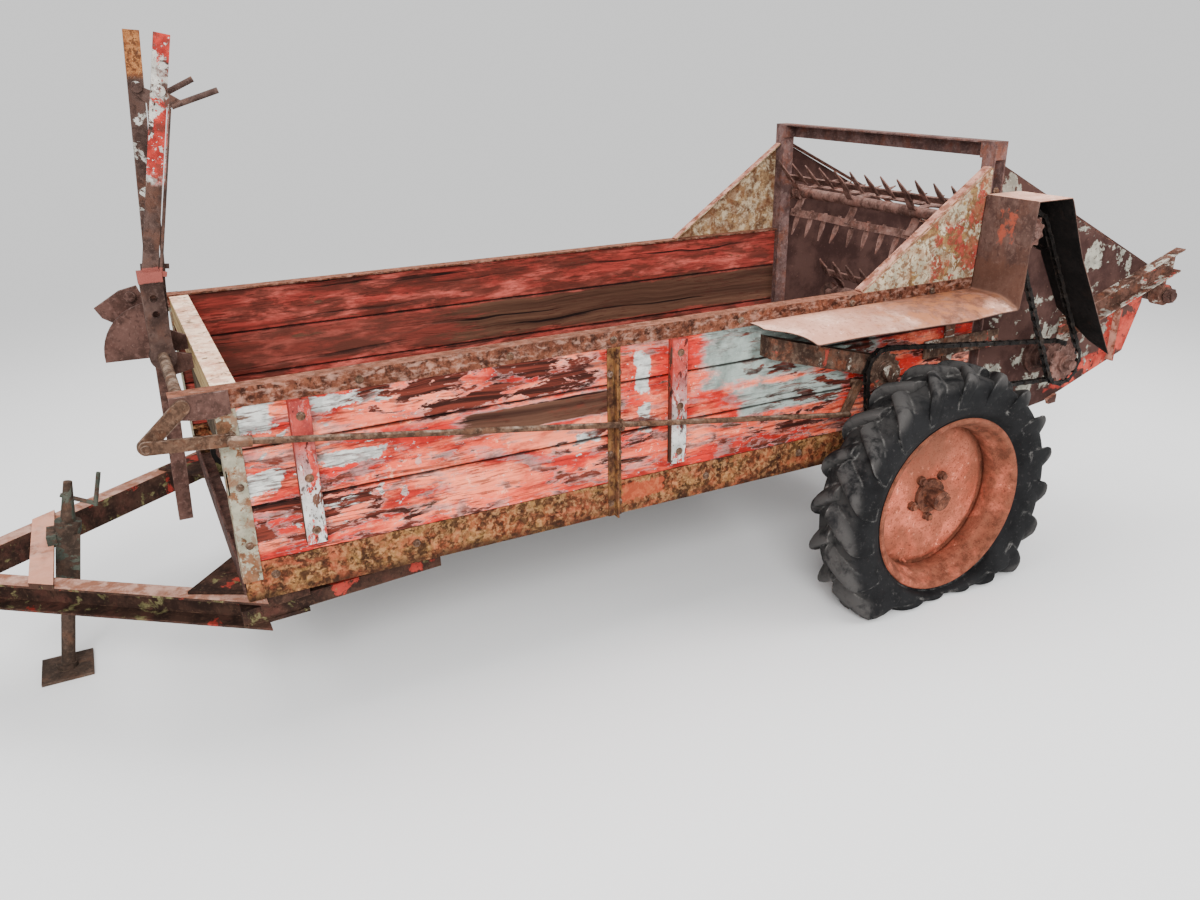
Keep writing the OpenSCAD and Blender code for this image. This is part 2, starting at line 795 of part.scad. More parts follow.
// The whole tyre as one closed surface: left side out to its bead, right bead, right side back to the crown
module tyre() {
    let (right = side_rings(-1), n = 2 * len(right),
        rings = concat(side_rings(1), [for (k = [len(right) - 1 : -1 : 0]) right[k]]))
        color("#2b2b2d") translate([front_x - axle_s, wheel_y, axle_z])
            polyhedron(points = [for (r = rings, p = r) p], faces = [for (k = [0 : n - 1])
                let (k2 = (k + 1) % n)
                    each strip(first(rings, k), len(rings[k]), first(rings, k2), len(rings[k2]),
                        k == n - 1 ? 2 : k == n / 2 - 1 ? -1 : 0)]);
}

module rim_left() {
    rim();
}

module hub_left() {
    hub();
}

module tyre_left() {
    tyre();
}

module rim_right() {
    mirror([0, 1, 0]) rim();
}

module hub_right() {
    mirror([0, 1, 0]) hub();
}

module tyre_right() {
    mirror([0, 1, 0]) tyre();
}

// Beaters

upper_tube_r = 32;
lower_tube_r = 42;
upper_bar_r = 88;
lower_bar_r = 140;
beater_shaft_r = 17;
beater_half = half_w - arch_tube - 12;
bar_t = 8;
bar_w = 32;
tooth_t = 6;
tooth_w = 17;
strap_w = 38;
strap_t = 7;
strap_steps = 6;

// A bar of pointed leaf teeth, roots below the bar and tips at r_tip
module toothed_bar(r_bar, r_tip, shift) {
    translate([-bar_t / 2, -beater_half, r_bar - bar_w / 2]) cube([bar_t, 2 * beater_half, bar_w]);
    let (pitch = 2 * (beater_half - 40) / (teeth - 1), waist = r_bar + (r_tip - r_bar) * 0.45)
        for (i = [0 : teeth - 1])
            translate([bar_t / 2 + tooth_t, -beater_half + 40 + i * pitch + shift, 0]) rotate([0, -90, 0])
                linear_extrude(tooth_t)
                    polygon([[r_bar - 12, -12], [r_bar - 12, 12], [waist - 14, tooth_w - 3], [waist, tooth_w],
                        [r_tip, 0], [waist, -tooth_w], [waist - 14, 3 - tooth_w]]);
}

// Points of a strap that leaves the tube askew and straightens at the bar
function strap_line(r0, r1, side) = [for (i = [0 : strap_steps])
    let (u = i / strap_steps, a = 38 * pow(1 - u, 1.6), r = r0 + (r1 - r0) * u)
        [r * sin(a) + side * strap_t / 2, r * cos(a)]];

module strap(r0, r1) {
    sheet(concat(strap_line(r0, r1, -1), [for (i = [strap_steps : -1 : 0]) strap_line(r0, r1, 1)[i]]),
        -strap_w / 2, strap_w / 2);
}

module beater(tube_r, r_bar, r_tip, out_left) {
    ycyl(tube_r, -beater_half, beater_half);
    ycyl(beater_shaft_r, -half_w - 40, out_left);
    for (i = [0 : bars - 1])
        rotate([0, 360 / bars * i, 0]) {
            toothed_bar(r_bar, r_tip, i * 12 - 12);
            for (f = [-0.94, -0.62, 0.5, 0.94])
                translate([0, f * beater_half, 0]) strap(tube_r - 4, r_bar + 4);
        }
}

beater_chain_y = chain_y + 38;

module lower_beater() {
    color("#63473a") at(lower_s, 0, lower_h) {
        rotate([0, 35, 0]) beater(lower_tube_r, lower_bar_r, lower_r, beater_chain_y + 40);
        sprocket(driven_teeth, chain_y);
        sprocket(drive_teeth, beater_chain_y);
        ycyl(30, chain_y - 14, beater_chain_y + 14);
    }
}

module upper_beater() {
    color("#63473a") at(upper_s, 0, upper_h) {
        rotate([0, 42, 0]) beater(upper_tube_r, upper_bar_r, upper_r, beater_chain_y + 24);
        sprocket(upper_teeth, beater_chain_y);
        ycyl(26, beater_chain_y - 16, beater_chain_y + 14);
    }
}

module flange_bearing(s, h, r) {
    difference() {
        union() {
            at(s, 0, h) ycyl(r, half_w, half_w + 14);
            at(s, 0, h) ycyl(r * 0.62, half_w, half_w + 34);
        }
        at(s, 0, h) ycyl(beater_shaft_r + shaft_clear, half_w - 1, half_w + 40);
    }
}

module beater_bearings() {
    color("#4b3d34")
        for (m = [0, 1])
            mirror([0, m, 0]) {
                flange_bearing(upper_s, upper_h, 54);
                flange_bearing(lower_s, lower_h, 62);
            }
}

// Chains

link_h = 14;
link_w = 18;
link_end = 6;
core_h = 9;
core_w = 9;
tooth_h = 9;
chain_seat = 0.4;
sprocket_t = 8;

function pitch_r(n) = link_pitch / 2 / sin(180 / n);
function sprocket_tip(n) = pitch_r(n) * cos(180 / n) - link_h / 2 - chain_seat;

// A toothed wheel on the axis of Y, n teeth with their tips just inside the chain
module sprocket(n, y) {
    let (tip = sprocket_tip(n), root = tip - tooth_h)
        sheet([for (i = [0 : n - 1], k = [[0.14, root], [0.38, tip], [0.62, tip], [0.86, root]])
            let (a = 360 * (i + k[0]) / n) [k[1] * cos(a), k[1] * sin(a)]],
            y - sprocket_t / 2, y + sprocket_t / 2);
}

// Heading of the straight run from a circle [s, h, r] to the next, r above 0 for a circle on its left
function run_angle(a, b) = let (d = [b[0] - a[0], b[1] - a[1]])
    atan2(d[1], d[0]) - asin((b[2] - a[2]) / norm(d));
function off_point(c, g) = [c[0] + c[2] * sin(g), c[1] - c[2] * cos(g)];
function turn(g0, g1, left) = left ? (g1 - g0 + 720) % 360 : -((g0 - g1 + 720) % 360);

// One row for each circle: [heading on to it, turn round it, length round it, length of the run to the next]
function chain_rows(c) = let (n = len(c))
    [for (i = [0 : n - 1])
        let (g0 = run_angle(c[(i + n - 1) % n], c[i]), g1 = run_angle(c[i], c[(i + 1) % n]),
            t = turn(g0, g1, c[i][2] > 0))
            [g0, t, abs(t * c[i][2]) * PI / 180, norm(off_point(c[(i + 1) % n], g1) - off_point(c[i], g1))]];
function total(rows, i = 0) = i < len(rows) ? rows[i][2] + rows[i][3] + total(rows, i + 1) : 0;

// Place and heading, [[s, h], angle], at the distance d along the loop
function chain_at(c, rows, d, i = 0) = let (q = rows[i])
    d <= q[2] ? let (g = q[0] + q[1] * d / q[2]) [off_point(c[i], g), g]
    : d <= q[2] + q[3] || i == len(rows) - 1 ? let (g = q[0] + q[1])
        [off_point(c[i], g) + (d - q[2]) * [cos(g), sin(g)], g]
    : chain_at(c, rows, d - q[2] - q[3], i + 1);

// A closed chain: a core along its pins, with the outer links standing out from every second pitch
module chain_loop(c, y) {
    let (rows = chain_rows(c), n = 2 * round(total(rows) / link_pitch / 2), p = total(rows) / n,
        pins = [for (k = [0 : n]) chain_at(c, rows, (k % n) * p)]) {
        difference() {
            side_sheet([for (k = [0 : n - 1]) off_point(concat(pins[k][0], core_h / 2), pins[k][1])],
                y - core_w / 2, y + core_w / 2);
            side_sheet([for (k = [0 : n - 1]) off_point(concat(pins[k][0], -core_h / 2), pins[k][1])],
                y - core_w / 2 - 1, y + core_w / 2 + 1);
        }
        for (k = [0 : 2 : n - 2])
            let (a = pins[k][0], b = pins[k + 1][0], u = (b - a) / norm(b - a), e = u * link_end,
                w = [-u[1], u[0]] * link_h / 2)
                side_sheet([a - e - w, b + e - w, b + e + w, a - e + w], y - link_w / 2, y + link_w / 2);
    }
}

idler_s = box_len - 465;
idler_h = 310;
return_s = box_len - 90;
return_h = 140;
return_r = 42;
return_roller_r = return_r * cos(asin(link_pitch / 2 / return_r)) - link_h / 2 - slack;
main_circles = [[axle_s, -axle_drop, pitch_r(axle_teeth)], [return_s, return_h, -return_r],
    [lower_s, lower_h, pitch_r(driven_teeth)], [idler_s, idler_h, pitch_r(driven_teeth)]];
beater_circles = [[lower_s, lower_h, pitch_r(drive_teeth)], [upper_s, upper_h, pitch_r(upper_teeth)]];

module main_chain() {
    color("#3c3632") chain_loop(main_circles, chain_y);
}

module beater_chain() {
    color("#3c3632") chain_loop(beater_circles, beater_chain_y);
}

idler_arm_w = 52;
collar_r = 27;
drive_flat_low = 292;
drive_flat_high = 350;

module idler_arm() {
    color("#7d5140") {
        // box-section arm from the planks to the idler's stub, with its end collar
        side_sheet([[idler_s - 411, 460], [idler_s - 411, 398], [idler_s + 15, 276], [idler_s + 40, 300],
            [idler_s + 25, 338]], half_w, half_w + idler_arm_w);
        at(idler_s, 0, idler_h) {
            ycyl(16, half_w + idler_arm_w - overlap, chain_y + 42);
            sprocket(driven_teeth, chain_y);
            ycyl(30, half_w + idler_arm_w - overlap, chain_y + 12);
            ycyl(collar_r, chain_y + 24, chain_y + 42);
        }
        at(return_s, 0, return_h) {
            ycyl(12, half_w, chain_y + 20);
            ycyl(return_roller_r, chain_y - 12, chain_y + 12);
        }
        // flat between the stake and the arch post
        block(box_len - stake_ahead - 90, plate_front + 60, half_w + stake_t, half_w + stake_t + 7,
            drive_flat_low, drive_flat_high);
    }
}

guard_w = 200;
guard_t = 3;
shelf_front_s = box_len - 920;
shelf_rear_s = box_len - 62;
shelf_h = 503;
shelf_bend = 120;
shelf_droop = 32;
// Corners of the guard's bent strip behind the shelf as [s, h, inner edge beyond the side]
guard_top = 792;
guard_line = [[shelf_rear_s - 3, shelf_h - shelf_droop - guard_t, angle_t],
    [shelf_rear_s + 17, guard_top, angle_t], [box_len + 100, guard_top, angle_t],
    [box_len + 195, 600, tail_flange + 4], [box_len + 410, 272, tail_flange + 4]];
shelf_profile = [[half_w + angle_t, shelf_h], [half_w + shelf_bend, shelf_h - 3],
    [half_w + guard_w, shelf_h - shelf_droop]];

module chain_guard() {
    color("#8d5a48") {
        // shelf with its outer edge bent down and its front corner torn away
        difference() {
            along(concat(shelf_profile, [for (i = [2 : -1 : 0]) shelf_profile[i] - [0, guard_t]]),
                shelf_front_s, shelf_rear_s);
            level([[shelf_front_s - 1, half_w + 60], [shelf_front_s + 28, half_w + 95],
                [shelf_front_s + 44, half_w + 150], [shelf_front_s + 90, half_w + guard_w + 1],
                [shelf_front_s - 1, half_w + guard_w + 1]],
                shelf_h - 2 * shelf_droop, shelf_h + 10);
        }
        // front face, top and rear face, its lower end cut askew
        difference() {
            for (i = [0 : len(guard_line) - 2])
                let (p = guard_line[i], q = guard_line[i + 1], a = [p[0], p[1]], b = [q[0], q[1]], d = b - a,
                    n = [-d[1], d[0]] / norm(d) * guard_t)
                    side_sheet([a, b, b + n, a + n], half_w + q[2], half_w + guard_w);
            along([[half_w, 200], [half_w + guard_w, 262], [half_w + 120, 300], [half_w, 400]],
                box_len + 200, box_len + 450);
        }
    }
}

// Apron

apron_y = 330;
apron_shaft_h = 70;
apron_front_s = 85;
apron_rear_s = box_len - 85;
apron_r = 50;
apron_link_t = 14;
apron_link_w = 20;
slats = 11;
slat_h = 20;
slat_w = 35;
slat_end = 20;

// A flat link chain round the front and rear shafts
module apron_chain(y) {
    difference() {
        apron_band(apron_r + apron_link_t / 2, y - apron_link_w / 2, y + apron_link_w / 2);
        apron_band(apron_r - apron_link_t / 2, y - apron_link_w / 2 - 1, y + apron_link_w / 2 + 1);
    }
}

module apron_band(r, y0, y1) {
    for (s = [apron_front_s, apron_rear_s])
        at(s, 0, apron_shaft_h) ycyl(r, y0, y1);
    block(apron_front_s, apron_rear_s, y0, y1, apron_shaft_h - r, apron_shaft_h + r);
}

module apron() {
    color("#4a3b32") {
        for (y = [-apron_y, apron_y])
            apron_chain(y);
        let (h0 = apron_shaft_h + apron_r + apron_link_t / 2 - overlap, y = half_w - sill_flange - slat_end,
            gap = (apron_rear_s - apron_front_s - 160) / (slats - 1))
            for (i = [0 : slats - 1])
                let (s = apron_front_s + 62 + i * gap)
                    block(s, s + slat_w, -y, y, h0, h0 + slat_h);
    }
}

apron_shaft_r = 16;
apron_wheel_r = 42;

module apron_shafts() {
    color("#4b3d34")
        for (s = [apron_front_s, apron_rear_s])
            at(s, 0, apron_shaft_h) {
                ycyl(apron_shaft_r, sill_t - half_w, half_w - sill_t);
                for (y = [-apron_y, apron_y])
                    ycyl(apron_wheel_r, y - 8, y + 8);
            }
}

ratchet_r = 95;
ratchet_teeth = 30;
ratchet_w = 12;
pawl_r = 20;

// Ratchet wheel of the feed on the right, with the arm that swings its pawl
module feed_drive() {
    color("#59493f") on_side(false)
        at(apron_rear_s, 0, apron_shaft_h) {
            ycyl(apron_shaft_r, half_w, half_w + 56);
            sheet([for (i = [0 : ratchet_teeth - 1], k = [[0, ratchet_r], [0.15, ratchet_r - 8]])
                let (a = 360 * (i + k[0]) / ratchet_teeth) [k[1] * cos(a), k[1] * sin(a)]],
                half_w + 20, half_w + 20 + ratchet_w);
            ycyl(pawl_r + 8, half_w + 20 + ratchet_w, half_w + 48);
            sheet([[-pawl_r, 0], [-14, ratchet_r + 30], [14, ratchet_r + 30], [pawl_r, 0]],
                half_w + 34, half_w + 44);
            translate([0, 0, ratchet_r + 22]) ycyl(pawl_r, half_w + 34, half_w + 44);
            sheet([[-12, ratchet_r + 34], [12, ratchet_r + 34], [34, ratchet_r - 2], [22, ratchet_r - 6]],
                half_w + 22, half_w + 35);
        }
}

// Levers at the front

lever_ys = [120, 35];
// Lean of each lever's foot and of the bar above its clamp
foot_leans = [1, 5];
lever_leans = [12.5, 5];
stand_y = 77;
stand_t = 10;
bracket_t = 6;
quadrant_r = 132;
catch_y = -10;
// Outline of the catch plate, its heights above the cross shaft
catch_outline = [[-204, 112], [-140, 150], [-97, 159], [-60, 45], [0, 15], [0, -23], [-100, -27],
    [-130, 45], [-190, 85]];

module cross_shaft_hole(y0, y1) {
    at(-cross_shaft_ahead, 0, cross_shaft_h) ycyl(cross_shaft_d / 2 + shaft_clear, y0, y1);
}

module lever_stand() {
    color("#5b4136") {
        // doublers on the rails' noses
        for (m = [0, 1])
            mirror([0, m, 0])
                difference() {
                    side_sheet([[-rail_nose, rail_h - 50], [-rail_nose, rail_h], [30, rail_h],
                        [30, rail_h - 54], [-10, rail_h - 60], [-50, rail_h - 57]],
                        half_w + angle_t, half_w + angle_t + bracket_t);
                    cross_shaft_hole(half_w - 5, half_w + 20);
                }
        difference() {
            union() {
                // flat bar that hangs beside the beam, bolted to the beam's front
                side_sheet([[-106, 42], [-70, 42], [-50, rail_h - 86], [0, rail_h - 74], [0, rail_h - 36],
                    [10 - cross_shaft_ahead, cross_shaft_h], [-20 - cross_shaft_ahead, cross_shaft_h]],
                    stand_y - stand_t / 2, stand_y + stand_t / 2);
                // quadrant plate between the levers
                at(-cross_shaft_ahead, 0, cross_shaft_h)
                    sheet(concat([[0, -12]], [for (a = [-4 : 8 : 100]) quadrant_r * [-cos(a), sin(a)]]),
                        stand_y - 4, stand_y + 4);
                at(-cross_shaft_ahead, 0, cross_shaft_h) ycyl(24, stand_y - 14, stand_y + 14);
            }
            cross_shaft_hole(stand_y - 30, stand_y + 30);
        }
        // catch plate of the far lever, from the front beam forward
        difference() {
            side_sheet([for (p = catch_outline) [p[0], cross_shaft_h + p[1]]], catch_y - 4, catch_y + 4);
            cross_shaft_hole(catch_y - 10, catch_y + 10);
        }
        at(-117, 0, cross_shaft_h + 135) ycyl(13, catch_y + 4, catch_y + 22);
    }
}

lever_w = 36;
lever_t = 12;
lever_bore_r = 32;
base_w = 52;
base_out = 17;
base_top = 200;
clamp_w = 56;
clamp_h = 28;
latch_z = 639;
latch_r = 13;
grip_r = 7;
grip_start = [28, latch_z - 30];
grip_end = [126, latch_z + 26];
pawl_rod_r = 4;

// One hand lever that leans rearward, the foot round the shaft and the bar above its clamp
module hand_lever(y, foot_lean, lean) {
    at(-cross_shaft_ahead, y, cross_shaft_h) {
        rotate([0, -foot_lean, 0]) {
            // wider foot, a channel open to the right, with its holes
            difference() {
                translate([-base_w / 2, -base_out, 20]) cube([base_w, 2 * base_out, base_top - 20]);
                translate([-base_w / 2 + 5, -base_out - 1, 40]) cube([base_w - 10, base_out + 6, base_top]);
                for (z = [110, 150])
                    translate([0, 0, z]) ycyl(9, 0, base_out + 1);
            }
            translate([-clamp_w / 2, -base_out - 3, base_top - 12])
                cube([clamp_w, 2 * base_out + 6, clamp_h]);
            difference() {
                ycyl(lever_bore_r, -base_out, base_out);
                ycyl(cross_shaft_d / 2 + shaft_clear, -base_out - 1, base_out + 1);
            }
        }
        translate([-base_top * sin(foot_lean), 0, base_top * cos(foot_lean)]) rotate([0, -lean, 0])
            translate([0, 0, -base_top]) {
                translate([-lever_w / 2, -lever_t / 2, base_top - 50])
                    cube([lever_w, lever_t, lever_len - base_top + 50]);
                // latch: its pivot, plate, grip and the rod down to the pawl
                translate([0, 0, latch_z]) ycyl(latch_r, -lever_t / 2, lever_t / 2 + 12);
                sheet([[-10, latch_z + 10], [-12, latch_z - 10], grip_start - [8, 6], grip_start + [34, 12]],
                    lever_t / 2, lever_t / 2 + 6);
                rod(grip_start, grip_end, lever_t / 2 + grip_r - 2, grip_r);
                rod(grip_start - [4, 4], [lever_w / 2 + 6, base_top + 12], lever_t / 2 + 4, pawl_rod_r);
                translate([-lever_w / 2 - 20, lever_t / 2, base_top + 8]) cube([lever_w + 8, 8, 12]);
            }
    }
}

module hand_levers() {
    color("#93503f")
        for (i = [0, 1])
            hand_lever(lever_ys[i], foot_leans[i], lever_leans[i]);
}

crank_end = [-154, cross_shaft_h - 75];
rod_front = [16, cross_shaft_h - 87];
rod_rear = [1790, 172];
shifter_pivot = [1834, 258];
link_y = half_w + 26;
rod_y = half_w + 44;
pin_r = 9;
guide_h = rod_front[1] + (rod_rear[1] - rod_front[1]) * (tee_post_s + tee_post_w / 2 - rod_front[0])
    / (rod_rear[0] - rod_front[0]);

// A flat bar with round ends from place a to place b
module flat_link(a, b, y0, y1, r) {
    for (p = [a, b])
        at(p[0], 0, p[1]) ycyl(r, y0, y1);
    let (d = b - a, n = [-d[1], d[0]] / norm(d) * r)
        side_sheet([a + n, b + n, b - n, a - n], y0, y1);
}

module cross_shaft() {
    color("#6d5347") {
        at(-cross_shaft_ahead, 0, cross_shaft_h) ycyl(cross_shaft_d / 2, -half_w - 26, half_w + 24);
        flat_link([-cross_shaft_ahead, cross_shaft_h], crank_end, half_w + 14, half_w + 24, 17);
        at(crank_end[0], 0, crank_end[1]) ycyl(pin_r, half_w + 14, link_y + 14);
    }
}

module engaging_rod() {
    color("#6d5347") {
        difference() {
            flat_link(crank_end, rod_front, link_y, link_y + 8, 15);
            at(crank_end[0], 0, crank_end[1]) ycyl(pin_r + shaft_clear, link_y - 1, link_y + 20);
        }
        // clevis, rod and the shifter that it pulls
        at(rod_front[0], 0, rod_front[1]) ycyl(pin_r, link_y + 4, rod_y + 14);
        at(0, 0, 0) rod(rod_front, rod_front + [44, -6], rod_y, 13);
        at(0, 0, 0) rod(rod_front, rod_rear, rod_y, rod_d / 2);
        at(rod_rear[0], 0, rod_rear[1]) ycyl(8, half_w + 20, rod_y + 4);
        flat_link(shifter_pivot, rod_rear, half_w + 20, half_w + 30, 15);
        at(shifter_pivot[0], 0, shifter_pivot[1]) ycyl(12, half_w, half_w + 30);
    }
}

sill_left();
sill_right();
cross_members();
floor_boards();
planks_left();
planks_right();
front_board();
front_beam();
rail_left();
rail_right();
posts_left();
posts_right();
arch();
side_plate_left();
side_plate_right();
tail_rail_left();
tail_rail_right();
drawbar();
hitch_eye();
jack_body();
jack_leg();
axle_bearings();
axle();
rim_left();
hub_left();
tyre_left();
rim_right();
hub_right();
tyre_right();
lower_beater();
upper_beater();
beater_bearings();
tail_shaft();
main_chain();
beater_chain();
idler_arm();
chain_guard();
apron();
apron_shafts();
feed_drive();
lever_stand();
hand_levers();
cross_shaft();
engaging_rod();
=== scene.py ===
"""Finishes and fine pieces of a trailed manure spreader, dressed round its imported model."""

import math

import bpy
import numpy as np
from mathutils import Matrix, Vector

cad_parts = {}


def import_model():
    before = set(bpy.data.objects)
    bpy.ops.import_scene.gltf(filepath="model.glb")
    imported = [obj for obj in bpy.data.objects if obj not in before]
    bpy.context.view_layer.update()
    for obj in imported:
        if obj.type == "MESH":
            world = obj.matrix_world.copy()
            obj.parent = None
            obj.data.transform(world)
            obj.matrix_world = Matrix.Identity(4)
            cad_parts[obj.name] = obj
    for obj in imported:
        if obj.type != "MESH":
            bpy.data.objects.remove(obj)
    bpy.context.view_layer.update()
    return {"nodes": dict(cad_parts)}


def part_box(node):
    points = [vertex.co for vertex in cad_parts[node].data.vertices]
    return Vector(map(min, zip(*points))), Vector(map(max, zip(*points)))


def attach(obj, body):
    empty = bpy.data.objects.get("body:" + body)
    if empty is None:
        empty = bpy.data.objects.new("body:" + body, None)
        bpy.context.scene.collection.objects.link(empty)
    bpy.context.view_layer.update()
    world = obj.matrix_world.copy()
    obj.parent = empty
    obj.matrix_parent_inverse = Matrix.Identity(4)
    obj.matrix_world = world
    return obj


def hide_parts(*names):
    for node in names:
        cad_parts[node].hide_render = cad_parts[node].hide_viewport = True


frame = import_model()
scene = bpy.context.scene

# Places follow the part: s is the distance behind the front of the box and h the height over the
# underside of the sills, both in millimetres, and y points to the machine's left.
MM = 0.001
SIDES = {"left": 1, "right": -1}
FRONT_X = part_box("sill_left")[1][0]
SILL_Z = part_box("sill_left")[0][2]
HALF_W = 550
SILL_H = 100
RAIL_H = 536
PLANK_END, PLANK_T, PLANK_COUNT, PLANK_GAP = 2325, 25, 3, 3.0
PLANK_PITCH = (RAIL_H - 5 - SILL_H + PLANK_GAP) / PLANK_COUNT
POST_TOP = RAIL_H - 45
STEEL_T = 5
CORNER_LOW = 55
BATTENS_S, BATTEN_WIDE, BATTEN_T = (150, 1165), 48, 28
TEE_S = (975, 1015)
STAKE_S = (2200, 2240)
ARCH_S = 2345
WHEEL_Y = 775
AXLE_S, AXLE_H = 2000, -82
TAIL_S, TAIL_H = 2650, 225
UPPER_S, UPPER_H = 2400, 683
CHAIN_Y = 625
BEATER_CHAIN_Y = 663
# the near lever: how its bar leans above the clamp, and where it bends there
LEVER_SLOPE = math.tan(math.radians(12.5))
LEVER_BEND_S, LEVER_BEND_H = -66.5, 715


# Camera and studio

LENS_MM = 28.96
CAMERA_PLACE = (1.345, 2.7287, 1.5955)
HEADING, DIP, ROLL = math.radians(27.02), math.radians(22.228), math.radians(-0.85)


def photo_camera():
    """Stands the camera at the photograph's place; its axes follow from heading, dip and roll."""
    ahead = np.array([-math.sin(HEADING) * math.cos(DIP), -math.cos(HEADING) * math.cos(DIP), -math.sin(DIP)])
    level = np.array([-math.cos(HEADING), math.sin(HEADING), 0.0])
    upright = np.cross(level, ahead)
    right = math.cos(ROLL) * level + math.sin(ROLL) * upright
    top = math.cos(ROLL) * upright - math.sin(ROLL) * level
    camera = bpy.data.objects.new("camera", bpy.data.cameras.new("camera"))
    camera.data.lens = LENS_MM
    matrix = np.eye(4)
    matrix[:3] = np.column_stack([right, top, -ahead, CAMERA_PLACE])
    camera.matrix_world = Matrix(matrix.tolist())
    scene.collection.objects.link(camera)
    scene.camera = camera


def lamp(name, place, target, size, watts):
    """A square soft lamp that faces the target."""
    data = bpy.data.lights.new(name, "AREA")
    data.energy, data.size = watts, size
    lamp_object = bpy.data.objects.new(name, data)
    lamp_object.location = place
    away = np.array(place) - np.array(target)
    lamp_object.rotation_euler = (math.atan2(math.hypot(away[0], away[1]), away[2]), 0,
                                  math.atan2(away[0], -away[1]))
    scene.collection.objects.link(lamp_object)


# Node trees

def linear(code):
    """A colour written as six hex digits, as the linear values that the shaders take."""
    parts = np.array([int(code[i:i + 2], 16) for i in (0, 2, 4)]) / 255
    low = parts / 12.92
    high = ((parts + 0.055) / 1.055) ** 2.4
    return (*np.where(parts <= 0.04045, low, high).tolist(), 1.0)


class Wiring:
    """Short calls that add nodes to a tree and join them."""

    def __init__(self, tree):
        self.tree = tree

    def join(self, value, socket):
        if isinstance(value, bpy.types.NodeSocket):
            self.tree.links.new(value, socket)
        elif isinstance(value, str):
            socket.default_value = linear(value)
        else:
            socket.default_value = value

    def node(self, kind, sockets=(), **settings):
        made = self.tree.nodes.new("ShaderNode" + kind)
        for name, value in settings.items():
            setattr(made, name, value)
        for name, value in dict(sockets).items():
            self.join(value, made.inputs[name])
        return made

    def maths(self, operation, *values, clamp=False):
        return self.node("Math", enumerate(values), operation=operation, use_clamp=clamp).outputs[0]

    def vector(self, operation, *values):
        return self.node("VectorMath", enumerate(values), operation=operation).outputs[0]

    def scaled(self, vector, scale):
        return self.node("VectorMath", {0: vector, "Scale": scale}, operation="SCALE").outputs[0]

    def step(self, value, low, high):
        """0 below low, 1 above high, and a smooth rise between."""
        return self.node("MapRange", {"Value": value, "From Min": low, "From Max": high},
                         interpolation_type="SMOOTHSTEP").outputs[0]

    def less(self, mask):
        """Where the mask isn't."""
        return self.maths("SUBTRACT", 1.0, mask)

    def most(self, *masks):
        """The highest of several masks at each point."""
        top = masks[0]
        for mask in masks[1:]:
            top = self.maths("MAXIMUM", top, mask)
        return top

    def numbers(self, share, a, b):
        return self.node("Mix", {0: share, 2: a, 3: b}).outputs[0]

    def colours(self, share, a, b):
        return self.node("Mix", {0: share, 6: a, 7: b}, data_type="RGBA").outputs[2]

    def split(self, vector):
        return self.node("SeparateXYZ", {0: vector}).outputs

    def true_normal(self):
        return self.node("NewGeometry").outputs["Normal"]

    def length(self, vector):
        return self.node("VectorMath", {0: vector}, operation="LENGTH").outputs["Value"]

    def noise(self, vector, scale, detail=4.0, roughness=0.55, distortion=0.0):
        return self.node("TexNoise", {"Vector": vector, "Scale": scale, "Detail": detail,
                                      "Roughness": roughness, "Distortion": distortion}).outputs["Fac"]


def effect(name, build, gives, **takes):
    """A node group: takes and gives name its sockets, build works the outputs out from the inputs."""
    takes = {"Place": (0, 0, 0), **takes}
    tree = bpy.data.node_groups.new(name, "ShaderNodeTree")
    for label, value in takes.items():
        kind = "Float" if isinstance(value, (int, float)) else "Color" if isinstance(value, str) else "Vector"
        socket = tree.interface.new_socket(label, in_out="INPUT", socket_type="NodeSocket" + kind)
        socket.default_value = linear(value) if kind == "Color" else value
    for label, kind in gives.items():
        tree.interface.new_socket(label, in_out="OUTPUT", socket_type="NodeSocket" + kind)
    wiring = Wiring(tree)
    start, end = tree.nodes.new("NodeGroupInput"), tree.nodes.new("NodeGroupOutput")
    for label, value in build(wiring, start.outputs).items():
        wiring.join(value, end.inputs[label])
    return tree


def build_patches(w, x):
    """Ragged islands: broad noise cut at a level that leaves the wanted share above it."""
    place = w.vector("ADD", w.vector("MULTIPLY", x["Place"], x["Stretch"]), x["Shift"])
    noise = w.noise(w.scaled(place, w.maths("DIVIDE", 1.0, x["Size"])), 1.0, 9.0, 0.64, 0.35)
    level = w.maths("MULTIPLY_ADD", x["Share"], -0.4, 0.7)
    low, high = w.maths("SUBTRACT", level, x["Softness"]), w.maths("ADD", level, x["Softness"])
    return {"Mask": w.step(noise, low, high)}


def build_mottle(w, x):
    """Three tones of one coat, mixed by a broad and a fine noise, with specks of the third."""
    scale = w.maths("DIVIDE", 1.0, x["Size"])
    place = w.scaled(x["Place"], scale)
    broad = w.step(w.noise(place, 1.0, 6.0, 0.65), 0.38, 0.62)
    fine = w.noise(place, 9.0, 6.0, 0.7)
    tone = w.colours(broad, x["Dark"], x["Middle"])
    specks = w.step(fine, x["Specks"], w.maths("ADD", x["Specks"], 0.12))
    return {"Colour": w.colours(specks, tone, x["Light"]), "Height": fine}


